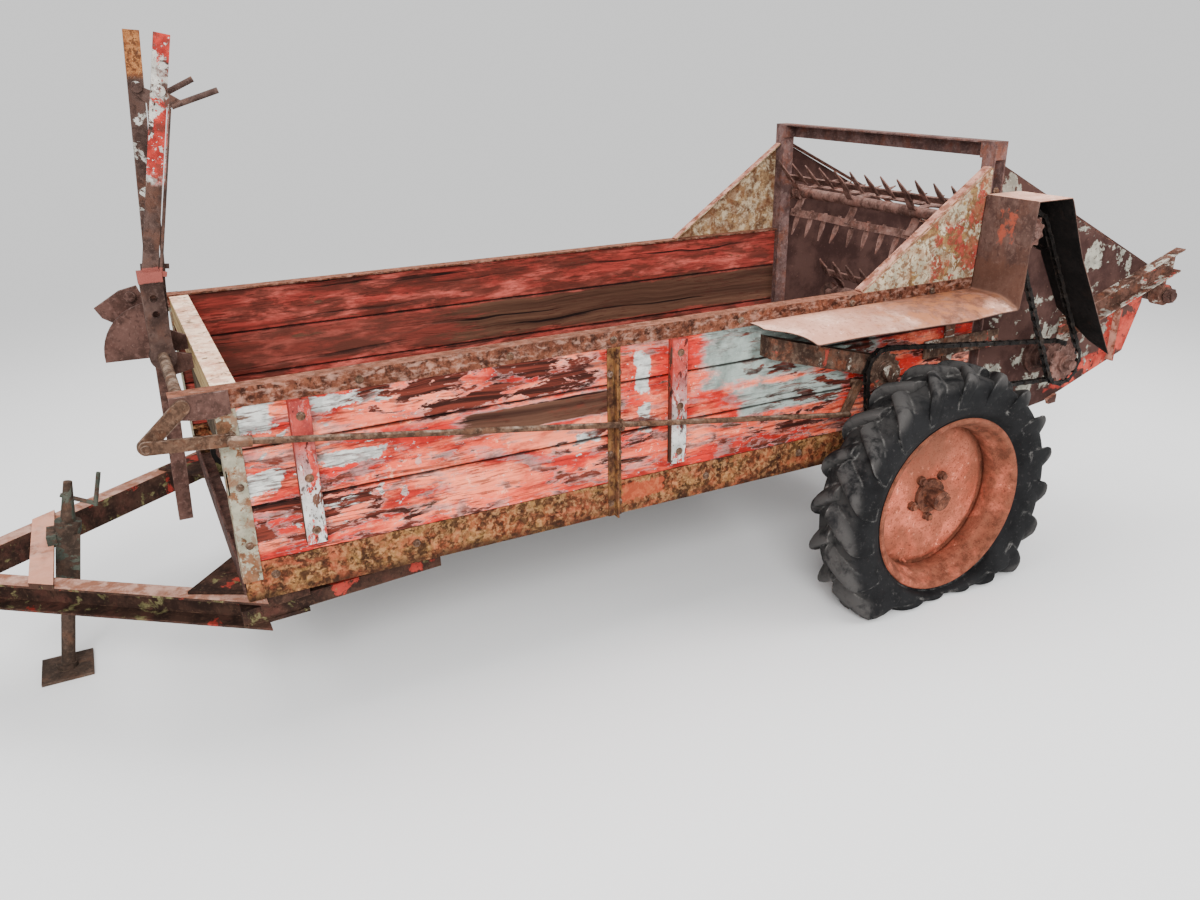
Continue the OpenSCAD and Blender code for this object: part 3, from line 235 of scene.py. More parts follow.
def build_grain(w, x):
    """Wood: fibres drawn out along X, bent by a slow noise, over broad cathedral bands."""
    bend = w.noise(w.vector("MULTIPLY", x["Place"], (1.6, 3.0, 3.0)), 1.0, 3.0)
    shift = w.node("CombineXYZ", {2: w.maths("MULTIPLY", w.maths("SUBTRACT", bend, 0.5), 0.075)}).outputs[0]
    bent = w.vector("ADD", x["Place"], shift)
    fibres = w.noise(w.vector("MULTIPLY", bent, (2.2, 95.0, 95.0)), 1.0, 5.0, 0.65)
    bands = w.noise(w.vector("MULTIPLY", bent, (0.7, 26.0, 26.0)), 1.0, 3.0, 0.6)
    cracks = w.step(w.noise(w.vector("MULTIPLY", bent, (1.1, 55.0, 55.0)), 1.0, 4.0, 0.5), 0.60, 0.68)
    tone = w.maths("ADD", w.maths("MULTIPLY", w.step(bands, 0.3, 0.7), 0.6),
                   w.maths("MULTIPLY", w.step(fibres, 0.3, 0.7), 0.4))
    colour = w.colours(cracks, w.colours(tone, x["Dark"], x["Light"]), x["Crack"])
    height = w.maths("SUBTRACT", w.maths("MULTIPLY", fibres, 0.7), w.maths("MULTIPLY", cracks, 0.9))
    return {"Colour": colour, "Height": height, "Fibres": fibres, "Cracks": cracks}


def broken_up(w, x, scale, detail, top, spread):
    """Noise cut between two levels, the lower one falling as the wanted share grows."""
    low = w.maths("SUBTRACT", top, w.maths("MULTIPLY", x["Share"], spread))
    return w.step(w.noise(x["Place"], scale, detail, 0.7), low, top)


def build_edges(w, x):
    """Where the surface turns: the rounded normal parts from the true one, broken up by noise."""
    rounded = w.node("Bevel", {"Radius": x["Reach"]}, samples=4).outputs[0]
    along = w.node("VectorMath", {0: rounded, 1: w.true_normal()}, operation="DOT_PRODUCT").outputs["Value"]
    turn = w.step(w.less(along), 0.015, 0.12)
    return {"Mask": w.maths("MULTIPLY", turn, broken_up(w, x, 38.0, 6.0, 0.72, 0.5))}


def build_settled(w, x):
    """What lies on top: faces that look up, broken up by noise."""
    up = w.step(w.split(w.true_normal())[2], 0.25, 0.85)
    return {"Mask": w.maths("MULTIPLY", up, broken_up(w, x, 24.0, 7.0, 0.75, 0.6))}


def build_zone(w, x):
    """One place with ragged borders: a box's distance measure, shaken by noise."""
    off = w.vector("ABSOLUTE", w.vector("DIVIDE", w.vector("SUBTRACT", x["Place"], x["Centre"]), x["Reach"]))
    across = w.split(off)
    far = w.most(across[0], across[1], across[2])
    noise = w.noise(w.vector("MULTIPLY", x["Place"], x["Stretch"]), 1.0, 8.0, 0.68)
    shake = w.maths("MULTIPLY", w.maths("SUBTRACT", noise, 0.5), x["Ragged"])
    return {"Mask": w.less(w.step(w.maths("ADD", far, shake), 0.85, 1.05))}


MASK = {"Mask": "Float"}
TONES = {"Colour": "Color", "Height": "Float"}
EFFECTS = {
    "patches": effect("Patches", build_patches, MASK, Size=0.1, Stretch=(1, 1, 1), Shift=(0, 0, 0),
                      Share=0.5, Softness=0.03),
    "mottle": effect("Mottle", build_mottle, TONES, Size=0.1, Dark="3a2a24", Middle="6a4a3c",
                     Light="a0704f", Specks=0.58),
    "grain": effect("Wood grain", build_grain, {**TONES, "Fibres": "Float", "Cracks": "Float"},
                    Dark="3c3029", Light="7d6d5e", Crack="17110e"),
    "edges": effect("Edge wear", build_edges, MASK, Reach=0.006, Share=0.6),
    "settled": effect("Settled on top", build_settled, MASK, Share=0.5),
    "zone": effect("Ragged place", build_zone, MASK, Centre=(0, 0, 0), Reach=(1, 1, 1),
                   Stretch=(9, 30, 30), Ragged=0.8),
}


class Finish:
    """A material laid up like the real one: a ground, then coats through masks, then bump in millimetres."""

    def __init__(self, name):
        self.material = bpy.data.materials.new(name)
        self.material.use_nodes = True
        self.wiring = Wiring(self.material.node_tree)
        self.shader = self.material.node_tree.nodes["Principled BSDF"]
        self.here = self.wiring.node("TexCoord").outputs["Object"]
        self.height = 0.0

    def use(self, name, **values):
        """The outputs of one effect, placed with its own values."""
        group = self.wiring.node("Group", node_tree=EFFECTS[name])
        self.wiring.join(self.here, group.inputs["Place"])
        for label, value in values.items():
            self.wiring.join(value, group.inputs[label])
        return group.outputs

    def ground(self, colour, rough, height=0.0, depth=0.0):
        self.colour, self.rough = colour, rough
        self.raise_by(height, depth)

    def raise_by(self, height, depth):
        if depth:
            self.height = self.wiring.maths("MULTIPLY_ADD", height, depth, self.height)

    def coat(self, mask, colour, rough, lift=0.0):
        """Covers what is there where the mask is 1, and raises the surface there by lift."""
        self.colour = self.wiring.colours(mask, self.colour, colour)
        self.rough = self.wiring.numbers(mask, self.rough, rough)
        self.raise_by(mask, lift)

    def both(self, a, b):
        return self.wiring.maths("MULTIPLY", a, b)

    def without(self, a, b):
        return self.wiring.maths("SUBTRACT", a, b, clamp=True)

    def faint(self, mask, share):
        return self.wiring.maths("MULTIPLY", mask, share)

    def across_grain(self, light, dark, crack, order):
        """Wood whose fibres run along another axis: order says which one takes each place."""
        parts = self.wiring.split(self.here)
        turned = self.wiring.node("CombineXYZ", {k: parts[axis] for k, axis in enumerate(order)}).outputs[0]
        return self.use("grain", Place=turned, Light=light, Dark=dark, Crack=crack)

    def patches(self, size, share, soft=0.03, stretch=(1, 1, 1), shift=0.0):
        return self.use("patches", Size=size, Share=share, Softness=soft, Stretch=stretch,
                        Shift=(shift, shift * 0.7, -shift))["Mask"]

    def zone(self, s, h, reach_s, reach_h, ragged=0.8, y=0.0, reach_y=9.0, stretch=(9, 30, 30)):
        """A place given in millimetres along the machine and up."""
        centre = (FRONT_X - s * MM, y * MM, SILL_Z + h * MM)
        return self.use("zone", Centre=centre, Reach=(reach_s * MM, reach_y, reach_h * MM),
                        Ragged=ragged, Stretch=stretch)["Mask"]

    def facing_up(self, low=0.4, high=0.8):
        """1 on faces that look up."""
        return self.wiring.step(self.wiring.split(self.wiring.true_normal())[2], low, high)

    def above(self, low, high):
        """0 below one height and 1 above the other, in millimetres over the sills' underside."""
        return self.wiring.step(self.wiring.split(self.here)[2], SILL_Z + low * MM, SILL_Z + high * MM)

    def past(self, low, high):
        """0 nearer the middle than one distance and 1 beyond the other, in millimetres to the side."""
        off = self.wiring.maths("ABSOLUTE", self.wiring.split(self.here)[1])
        return self.wiring.step(off, low * MM, high * MM)

    def ahead_of(self, low, high):
        """0 behind one place and 1 ahead of the other, in millimetres behind the front."""
        return self.wiring.step(self.wiring.split(self.here)[0], FRONT_X - low * MM, FRONT_X - high * MM)

    def off_axle(self):
        """Metres from the axle's line."""
        w = self.wiring
        away = w.vector("SUBTRACT", self.here, (FRONT_X - AXLE_S * MM, 0, SILL_Z + AXLE_H * MM))
        return w.length(w.vector("MULTIPLY", away, (1, 0, 1)))

    def edges(self, reach=0.006, share=0.6):
        return self.use("edges", Reach=reach, Share=share)["Mask"]

    def settled(self, share):
        return self.use("settled", Share=share)["Mask"]

    def tones(self, dark, middle, light, size=0.1, specks=0.58):
        return self.use("mottle", Dark=dark, Middle=middle, Light=light, Size=size, Specks=specks)

    def done(self, specular=0.12, metal=0.0):
        """Joins the colour, roughness and bump to the shader."""
        w, shader = self.wiring, self.shader
        w.join(self.colour, shader.inputs["Base Color"])
        w.join(self.rough, shader.inputs["Roughness"])
        shader.inputs["Metallic"].default_value = metal
        shader.inputs["Specular IOR Level"].default_value = specular
        bump = w.node("Bump", {"Height": self.height, "Distance": MM})
        w.join(bump.outputs[0], shader.inputs["Normal"])
        return self.material


# Finishes

def rusty(name, dark, middle, light, blotch, blotch_share=0.3, size=0.06, rough=0.88, worn="8f6a58",
          dust=None):
    """Rusted steel: mottled ground, soft blotches of brighter rust, fine specks, pits and worn edges."""
    f = Finish(name)
    tones = f.tones(dark, middle, light, size, 0.6)
    f.ground(tones["Colour"], rough, tones["Height"], 1.1)
    f.coat(f.faint(f.patches(size, blotch_share, 0.1, shift=3.1), 0.7), blotch, 0.93, 0.15)
    f.coat(f.faint(f.patches(0.012, 0.3, 0.06, shift=5.9), 0.3), light, 0.92, 0.15)
    f.coat(f.faint(f.patches(0.016, 0.3, 0.05, (1, 1, 0.7), 7.7), 0.7), dark, 0.85, -0.4)
    f.coat(f.faint(f.patches(0.2, 0.35, 0.12, shift=2.3), 0.45), dark, 0.88)
    f.coat(f.faint(f.edges(0.004, 0.5), 0.6), worn, 0.75, 0.0)
    if dust:
        f.coat(f.faint(f.settled(0.55), 0.7), dust, 0.95, 0.1)
    return f


def flaked(f, mask, tones, size, share, rough=0.75, lift=0.3, stretch=(1, 1, 1), shift=0.0):
    """A coat that flakes: ragged islands in a masked region, pitted with pinholes where it has gone."""
    pinholes = f.patches(size * 0.14, 0.24, 0.02, stretch, shift + 4.7)
    islands = f.without(f.patches(size, share, 0.015, stretch, shift), pinholes)
    f.coat(f.both(mask, islands), f.tones(*tones, size * 0.5, 0.6)["Colour"], rough, lift)
    return islands


# places of old primer on the planks: [s, h, reach along, reach up, raggedness]
PRIMER_PLACES = [(70, 460, 50, 40, 2.2), (290, 470, 90, 18, 2.6), (1085, 400, 22, 60, 2.6),
                 (1090, 275, 20, 40, 2.6), (915, 250, 40, 14, 2.4), (75, 300, 40, 30, 2.8),
                 (290, 325, 80, 18, 2.8), (250, 212, 60, 14, 2.8)]
GREEN_PLACES = [(1600, 415, 330, 95, 0.9), (1600, 262, 200, 48, 1.1)]


def plank_finish():
    """Old red paint, faded to salmon, over light primer on bare boards; deep red inside."""
    f = Finish("painted_planks")
    w = f.wiring
    outside = f.past(HALF_W - 13, HALF_W - 12)
    wood = f.use("grain", Light="634435", Dark="301c15", Crack="140a08")
    f.ground(wood["Colour"], 0.9, wood["Height"], 1.5)
    # long bare streaks, the bare wedge in the middle board and the weathered low front
    streaks = f.patches(0.2, 0.15, 0.03, (1.0, 3.6, 5.0), 1.3)
    fibres = f.patches(0.05, 0.18, 0.03, (1.0, 4.0, 5.5), 5.2)
    wedge = f.zone(790, 345, 240, 34, 0.9, stretch=(7, 50, 60))
    bare = w.most(streaks, f.both(fibres, f.patches(0.35, 0.5, 0.1, (1, 2, 2), 9.0)), f.both(wedge, outside))
    coated = w.less(bare)
    # primer shows in named places and as small flakes
    places = w.most(*(f.zone(*place, stretch=(22, 34, 34)) for place in PRIMER_PLACES))
    flakes = w.most(f.patches(0.022, 0.12, 0.012, (1.0, 1.6, 1.6), 2.2),
                    f.both(f.ahead_of(700, 200), f.patches(0.045, 0.17, 0.012, (1.0, 1.5, 1.6), 6.8)))
    field = w.most(*(f.zone(*place, stretch=(8, 22, 22)) for place in GREEN_PLACES))
    light = f.tones("a3a5a0", "c8c8c2", "dcdcd6", 0.03, 0.58)["Colour"]
    green = f.tones("66716b", "97a19a", "b9bfb6", 0.12, 0.6)["Colour"]
    f.coat(f.both(coated, outside), w.colours(field, light, green), 0.75, 0.25)
    # burnt-looking wood stands round the paint that is left
    scorched = f.both(f.patches(0.11, 0.42, 0.03, (1, 2.8, 4), 8.3),
                      f.patches(0.4, 0.55, 0.08, (1, 2, 2), 0.4))
    top_streaks = f.both(f.zone(600, 445, 330, 70, 1.6, stretch=(8, 26, 26)),
                         f.patches(0.1, 0.54, 0.03, (1, 2.8, 3.8), 2.9))
    low_streaks = f.both(f.zone(170, 200, 160, 55, 2.0, stretch=(14, 30, 30)),
                         f.patches(0.1, 0.46, 0.03, (1, 2.8, 3.8), 0.9))
    bare_edge = f.both(w.most(scorched, top_streaks, low_streaks), outside)
    coated = f.without(coated, bare_edge)
    f.coat(bare_edge, w.colours(w.step(wood["Fibres"], 0.4, 0.6), "2c140f", "662c22"), 0.92, -0.3)
    red = f.tones("861713", "c6261e", "e24432", 0.14, 0.6)["Colour"]
    salmon = f.tones("e4543a", "fd8360", "ffa888", 0.2, 0.56)["Colour"]
    faded = f.patches(0.26, 0.5, 0.08, (1.0, 2.6, 3.4), 4.0)
    red_out = w.colours(faded, red, salmon)
    red_out = w.colours(w.maths("MULTIPLY", w.step(wood["Fibres"], 0.46, 0.66), 0.3), red_out, "7c2620")
    red_in = f.use("grain", Light="b04239", Dark="3a1914", Crack="1c0c09")["Colour"]
    red_in = w.colours(f.faint(f.patches(0.2, 0.34, 0.1, (1, 3, 4), 6.0), 0.7), red_in, "d8695c")
    red_in = w.colours(f.faint(f.patches(0.16, 0.5, 0.08, (1, 3, 4), 3.6), 0.75), red_in, "43241c")
    red_in = w.colours(f.faint(f.zone(1100, 318, 1300, 66, 0.9, stretch=(5, 30, 40)), 0.5), red_in, "563229")
    shown = f.without(coated, f.both(w.most(places, flakes, field), outside))
    bare_inside = f.both(f.zone(1700, 318, 800, 70, 1.2, stretch=(5, 40, 50)), w.less(outside))
    shown = f.without(shown, f.both(bare_inside, f.patches(0.12, 0.93, 0.04, (1, 5, 7), 3.9)))
    f.coat(shown, w.colours(outside, red_in, red_out), 0.6, 0.3)
    # dark streaks along the fibres, then grime where boards meet
    dark = f.both(f.patches(0.07, 0.36, 0.03, (1, 8, 11), 7.1), f.patches(0.3, 0.55, 0.1, (1, 2, 2), 1.9))
    f.coat(f.faint(dark, 0.7), "42201a", 0.9, -0.3)
    f.coat(f.faint(f.both(wood["Cracks"], f.patches(0.3, 0.5, 0.08, shift=1.9)), 0.7), "1d1110", 0.95, -0.4)
    over_sill = w.maths("SUBTRACT", w.split(f.here)[2], SILL_Z + (SILL_H - PLANK_GAP / 2) * MM)
    off_seam = w.maths("PINGPONG", over_sill, PLANK_PITCH * MM / 2)
    ragged = w.maths("ADD", off_seam, w.maths("MULTIPLY", f.patches(0.04, 0.5, 0.2), -0.003))
    seam = w.less(w.step(ragged, 0.0, 0.005))
    f.coat(f.faint(seam, 0.8), "1c100e", 0.95, -0.3)
    return f.done()


def board_finish():
    """Grey-brown floor boards, damp and dirty."""
    f = Finish("floor_wood")
    wood = f.use("grain", Light="665645", Dark="30261d", Crack="120d0a")
    f.ground(wood["Colour"], 0.92, wood["Height"], 1.8)
    f.coat(f.faint(f.patches(0.2, 0.45, 0.1, (1, 2, 2)), 0.8), "3a2f22", 0.95, 0.3)
    f.coat(f.faint(f.settled(0.4), 0.8), "5d4a33", 0.97, 0.6)
    return f.done(specular=0.08)


def beam_finish():
    """Front beam: worn cream and pink on top, yellow-tan in front."""
    f = Finish("front_beam_wood")
    group = f.across_grain("b39a6e", "6f5432", "2b1d12", (1, 0, 2))
    f.ground(group["Colour"], 0.88, group["Height"], 1.4)
    up = f.facing_up()
    f.coat(up, f.tones("cf9e82", "f7d6b9", "ffeed9", 0.08)["Colour"], 0.8)
    f.coat(f.faint(f.both(up, f.patches(0.07, 0.3, 0.05)), 0.6), "b5705c", 0.8, 0.2)
    f.coat(f.faint(f.both(up, f.patches(0.02, 0.2, 0.03, shift=3.0)), 0.7), "8a5a44", 0.85)
    f.coat(f.faint(f.patches(0.03, 0.24, 0.04, shift=2.0), 0.8), "57402c", 0.9, -0.3)
    return f.done(specular=0.1)


def batten_finish():
    """Battens: red at the top and light primer below in broken patches, nail holes, and sides left as dark
    bare wood, which is painted shade on their front faces.
    """
    f = Finish("painted_battens")
    group = f.across_grain("5f4a3c", "2b1e18", "140c09", (2, 1, 0))
    f.ground(group["Colour"], 0.9, group["Height"], 1.4)
    # paint only on the outer face: the sides keep the dark wood ground as painted shade of the front faces
    face = f.past(HALF_W + BATTEN_T - 6, HALF_W + BATTEN_T - 2)
    flaked(f, face, ("9f9f9b", "c8c7c3", "dcdbd6"), 0.08, 0.76, stretch=(2, 2, 1))
    high = f.faint(f.above(190, 420), 0.97)
    low_red = flaked(f, face, ("8f2a24", "c0453a", "dd7a68"), 0.07, 0.4, 0.65, 0.3, (2.2, 2, 1), 3.3)
    f.coat(f.without(f.both(high, f.patches(0.1, 0.9, 0.02, (2, 2, 1), 6.6)), low_red),
           f.tones("7c231f", "a93a31", "c95f50", 0.06)["Colour"], 0.65, 0.3)
    f.coat(f.faint(f.patches(0.02, 0.24, 0.03, (1, 1, 0.4), 5.0), 0.85), "2a1612", 0.95, -0.4)
    return f.done()


def sill_finish():
    """Sills: brown rust under fine yellow-brown moss, with orange-red patches."""
    f = rusty("mossy_steel", "20130e", "74462f", "ab7350", "8f482c", 0.4, 0.05, 0.92, "8d6248")
    moss = f.tones("6b4c2a", "9a7444", "b98f5c", 0.012, 0.55)["Colour"]
    red_rust = f.tones("7c3a26", "a8543a", "c0704c", 0.02)["Colour"]
    f.coat(f.faint(f.patches(0.08, 0.42, 0.1, (1, 1, 1.4), 2.5), 0.6), moss, 0.97, 0.8)
    f.coat(f.faint(f.patches(0.015, 0.42, 0.06, shift=3.5), 0.45), "b4855a", 0.97, 0.5)
    f.coat(f.faint(f.patches(0.12, 0.34, 0.07, (1, 1, 1.6), 8.1), 0.6), red_rust, 0.9, 0.1)
    f.coat(f.faint(f.patches(0.02, 0.42, 0.05, shift=6.4), 0.8), "2a1811", 0.95, -0.2)
    f.coat(f.faint(f.zone(1085, 60, 70, 26, 2.2, stretch=(40, 60, 60)), 0.6), "a9482f", 0.85)
    low = f.wiring.less(f.above(4, 34))
    f.coat(f.faint(f.both(low, f.patches(0.05, 0.6, 0.1, shift=1.1)), 0.8), "2b1c15", 0.95)
    return f.done(specular=0.08)


def wing_finish():
    """Side plates: pale primer and red flakes on rust outside, yellow-brown rust inside, pink lips."""
    f = Finish("side_plate_paint")
    w = f.wiring
    tones = f.tones("35221f", "4b342f", "62463c", 0.12, 0.6)
    f.ground(tones["Colour"], 0.88, tones["Height"], 0.9)
    outside = f.past(HALF_W - 2, HALF_W - 1)
    ahead = f.ahead_of(ARCH_S + 5, ARCH_S - 5)
    inner_wing = f.both(w.less(outside), ahead)
    ochre = f.tones("5a4030", "9a7b58", "c3a57e", 0.05, 0.56)["Colour"]
    f.coat(inner_wing, ochre, 0.92, 0.2)
    for size, part, soft, shift, share, colour in ((0.03, 0.45, 0.08, 6.4, 0.6, "d6c4a4"),
                                                   (0.09, 0.4, 0.06, 4.4, 0.7, "74492f"),
                                                   (0.012, 0.36, 0.05, 5.4, 0.7, "5d3b2a")):
        f.coat(f.faint(f.both(inner_wing, f.patches(size, part, soft, shift=shift)), share), colour, 0.9)
    # the wing ahead of the arch: primer above, red below and behind, moss and rust between
    wing = f.both(outside, ahead)
    f.coat(wing, f.tones("5f4630", "8d7048", "ab9066", 0.02, 0.56)["Colour"], 0.92, 0.3)
    flaked(f, wing, ("948c76", "bfb196", "e2d0b8"), 0.1, 0.66, 0.8, 0.3, shift=0.6)
    wing_red = ("7e3028", "9f463a", "bb6c5c")
    rear = w.most(f.zone(2215, 620, 105, 110, 1.3, stretch=(14, 14, 14)),
                  f.zone(2290, 760, 45, 90, 1.5, stretch=(20, 20, 20)))
    flaked(f, f.both(wing, rear), wing_red, 0.07, 0.52, 0.7, 0.3, shift=5.5)
    flaked(f, wing, wing_red, 0.05, 0.1, 0.7, 0.3, shift=8.5)
    f.coat(f.faint(f.both(wing, f.patches(0.05, 0.4, 0.05, shift=3.5)), 0.6), "8a6244", 0.95, 0.3)
    f.coat(f.faint(f.both(wing, f.patches(0.014, 0.4, 0.04, shift=9.5)), 0.8), "664530", 0.95, 0.3)
    # the plate behind: brown with a few pale and red remains
    plate = f.without(outside, ahead)
    flaked(f, plate, ("77756b", "a09d90", "bdb9ab"), 0.12, 0.34, 0.85, 0.3, shift=1.6)
    red_low = w.most(f.zone(3080, 290, 90, 120, 1.5, stretch=(16, 16, 16)),
                     f.zone(2900, 130, 160, 50, 1.7, stretch=(16, 16, 16)))
    flaked(f, f.both(plate, red_low), ("8b2c24", "b5473a", "cf7360"), 0.12, 0.72, 0.75, 0.3, shift=2.9)
    lip = w.less(w.step(w.maths("ABSOLUTE", w.split(w.true_normal())[1]), 0.3, 0.7))
    f.coat(lip, f.tones("8d5a4c", "bb8a78", "d3ab98", 0.04)["Colour"], 0.85)
    f.coat(f.faint(f.both(lip, f.patches(0.03, 0.42, 0.04, shift=2.7)), 0.8), "6b3d2b", 0.9)
    f.coat(f.faint(f.edges(0.004, 0.5), 0.6), "9a7c63", 0.8)
    return f.done(specular=0.1)


def guard_finish():
    """Bent sheet of the chain guard: pink-brown rust, orange at the bends, and a pale painted reflection of
    the sky on the faces that look up.
    """
    f = rusty("guard_sheet", "3f2c27", "5b453e", "7b5f56", "5a3e34", 0.36, 0.09, 0.7, "a58272")
    # painted reflection: faces that look up are made pale pink for the sky's sheen on the wet sheet, mottled
    # by the next two coats; the rear of the shelf is then browned to its own rust
    up = f.facing_up(0.3)
    f.coat(up, f.tones("cc957f", "f2c2ab", "ffdbc6", 0.22, 0.58)["Colour"], 0.55)
    f.coat(f.faint(f.both(up, f.patches(0.16, 0.45, 0.12, shift=3.7)), 0.6), "b57d66", 0.6)
    f.coat(f.faint(f.both(up, f.patches(0.014, 0.3, 0.05, shift=6.0)), 0.5), "8a5a48", 0.85)
    rear = f.both(f.both(up, f.ahead_of(1560, 2040)), f.ahead_of(2300, 2290))
    brown = f.tones("5c3728", "85533f", "a66e57", 0.03)["Colour"]
    f.coat(f.faint(f.both(rear, f.patches(0.16, 0.8, 0.12, shift=1.6)), 0.9), brown, 0.75)
    f.coat(f.faint(f.both(rear, f.patches(0.05, 0.42, 0.06, shift=2.6)), 0.7), "a86a45", 0.9)
    mark = f.zone(2292, 700, 30, 45, 2.8, 655, 0.03, (45, 45, 45))
    f.coat(f.faint(f.both(mark, f.patches(0.03, 0.5, 0.06, shift=4.0)), 0.6), "a84a34", 0.85)
    f.coat(f.faint(f.zone(2315, 530, 60, 75, 1.9, stretch=(25, 25, 25)), 0.6), "56392d", 0.9)
    return f.done()


def guard_inner_finish():
    """Inside of the guard: rust tones taken down to near black, painted shade of the closed-in side."""
    f = rusty("guard_inside_shade", "0d0b0a", "181413", "2d2420", "33221a", 0.12, 0.1, 0.75, "4a342a")
    return f.done()


def rim_finish():
    """Rims: chalky salmon red on the disc, browner in the barrel, rust specks all over, painted shade on the
    inboard side.
    """
    f = Finish("rim_paint")
    w = f.wiring
    tones = f.tones("a04f3a", "d4735a", "f59a7e", 0.16, 0.58)
    f.ground(tones["Colour"], 0.74, tones["Height"], 0.5)
    f.coat(f.faint(f.patches(0.12, 0.5, 0.1, shift=1.2), 0.7), "7d4b39", 0.9, -0.05)
    high = f.above(AXLE_H + 20, AXLE_H + 210)
    f.coat(f.faint(f.both(high, f.patches(0.12, 0.8, 0.14, shift=5.2)), 0.8), "6e4737", 0.9)
    barrel = w.step(f.off_axle(), 0.224, 0.238)
    rust = f.tones("4a2c20", "764634", "ac6a50", 0.03)["Colour"]
    f.coat(f.faint(f.both(barrel, f.patches(0.08, 0.72, 0.12, shift=6.2)), 0.85), rust, 0.9)
    # painted shade: the inboard side of the rim, behind the disc, is darkened
    inboard_shade = w.less(f.past(WHEEL_Y - 75, WHEEL_Y - 40))
    f.coat(f.faint(inboard_shade, 0.9), "3a2620", 0.92)
    f.coat(f.faint(f.patches(0.014, 0.3, 0.04, shift=4.1), 0.7), "7d4433", 0.9, -0.25)
    f.coat(f.faint(f.patches(0.006, 0.26, 0.03, shift=9.1), 0.8), "5c3226", 0.9, -0.3)
    f.coat(f.faint(f.edges(0.005, 0.5), 0.6), "8a4f3d", 0.85)
    return f.done()


def rubber_finish():
    """Tyres: grey-black rubber, dusty in the hollows, greyer on the crown and palest at the lugs' edges: dust
    and scuffs, and a painted sheen of the sky.
    """
    f = Finish("tyre_rubber")
    tones = f.tones("0c0c0d", "151516", "202021", 0.09, 0.6)
    f.ground(tones["Colour"], 0.72, tones["Height"], 0.35)
    f.coat(f.faint(f.patches(0.13, 0.42, 0.14, shift=2.0), 0.5), "202021", 0.75)
    f.coat(f.faint(f.patches(0.01, 0.18, 0.05, shift=6.3), 0.3), "4a4745", 0.85, 0.1)
    # grey on the crown and pale at the lugs' edges: dust and scuffs, with a painted sheen of the sky on the
    # tread
    tread = f.wiring.step(f.off_axle(), 0.375, 0.415)
    f.coat(f.faint(f.both(tread, f.patches(0.06, 0.6, 0.1, shift=8.0)), 0.5), "565351", 0.85)
    f.coat(f.faint(f.both(f.edges(0.01, 0.7), f.patches(0.05, 0.5, 0.05, shift=5.0)), 0.7), "8b8884", 0.85)
    return f.done(specular=0.1)


def lever_finish():
    """Hand levers: plain purple-brown feet, red with pale flakes on the near one's upper part,
    ochre rust on the far one's top."""
    f = rusty("lever_paint", "2e211d", "503e38", "67534b", "583a2e", 0.3, 0.07, 0.85, "8f7a70")
    w = f.wiring
    x, y, z = (w.split(f.here)[k] for k in range(3))
    near = w.step(y, 75 * MM, 79 * MM)
    far = w.less(near)
    ragged = w.maths("ADD", z, w.maths("MULTIPLY", f.patches(0.04, 0.5, 0.15), 0.03))
    upper = w.step(ragged, SILL_Z + 950 * MM, SILL_Z + 975 * MM)
    past_bar = w.maths("MULTIPLY_ADD", z, LEVER_SLOPE, x)
    bar_line = FRONT_X - LEVER_BEND_S * MM + LEVER_SLOPE * (SILL_Z + LEVER_BEND_H * MM)
    painted = f.both(f.both(near, upper), w.step(past_bar, bar_line - 0.024, bar_line - 0.021))
    flaked(f, painted, ("9c9890", "bdbab3", "d4d1cb"), 0.09, 0.7, 0.75, 0.3, shift=7.5)
    flaked(f, painted, ("80231e", "ad362c", "c85648"), 0.08, 0.52, 0.7, 0.3, shift=1.5)
    f.coat(f.faint(f.both(painted, f.patches(0.03, 0.34, 0.04, shift=4.5)), 0.7), "5a322a", 0.85)
    flaked(f, f.both(far, f.above(700, 760)), ("8d8b84", "aeaca4", "c8c5bd"), 0.06, 0.3, 0.8, 0.3, shift=9.9)
    top = f.both(far, f.above(1165, 1185))
    ochre = f.tones("6e3f24", "99643c", "bd8f5e", 0.02, 0.55)["Colour"]
    f.coat(f.both(top, f.patches(0.03, 0.8, 0.05, shift=3.5)), ochre, 0.93, 0.2)
    f.coat(f.faint(f.both(top, f.patches(0.014, 0.42, 0.04, shift=1.1)), 0.85), "4a2c1c", 0.93)
    clamp = f.zone(-70, 722, 60, 18, 0.6, stretch=(40, 40, 40))
    f.coat(f.faint(f.both(near, clamp), 0.8), "8b4a42", 0.85)
    return f.done()


def arm_finish():
    """Idler arms: dark brown rust with flakes of pale primer and red."""
    f = rusty("arm_rust", "33251f", "5e4a3e", "866f60", "7c4630", 0.3, 0.05, 0.88, "b39d8a", "a48c7a")
    flaked(f, 1.0, ("8f887c", "b3ab9e", "cbc4b8"), 0.07, 0.24, 0.8, 0.2, shift=3.3)
    flaked(f, 1.0, ("7c2f27", "a04438", "ba6858"), 0.06, 0.2, 0.8, 0.2, shift=6.1)
    f.coat(f.faint(f.patches(0.03, 0.36, 0.05, shift=8.2), 0.75), "34251e", 0.9)
    return f.done(specular=0.1)


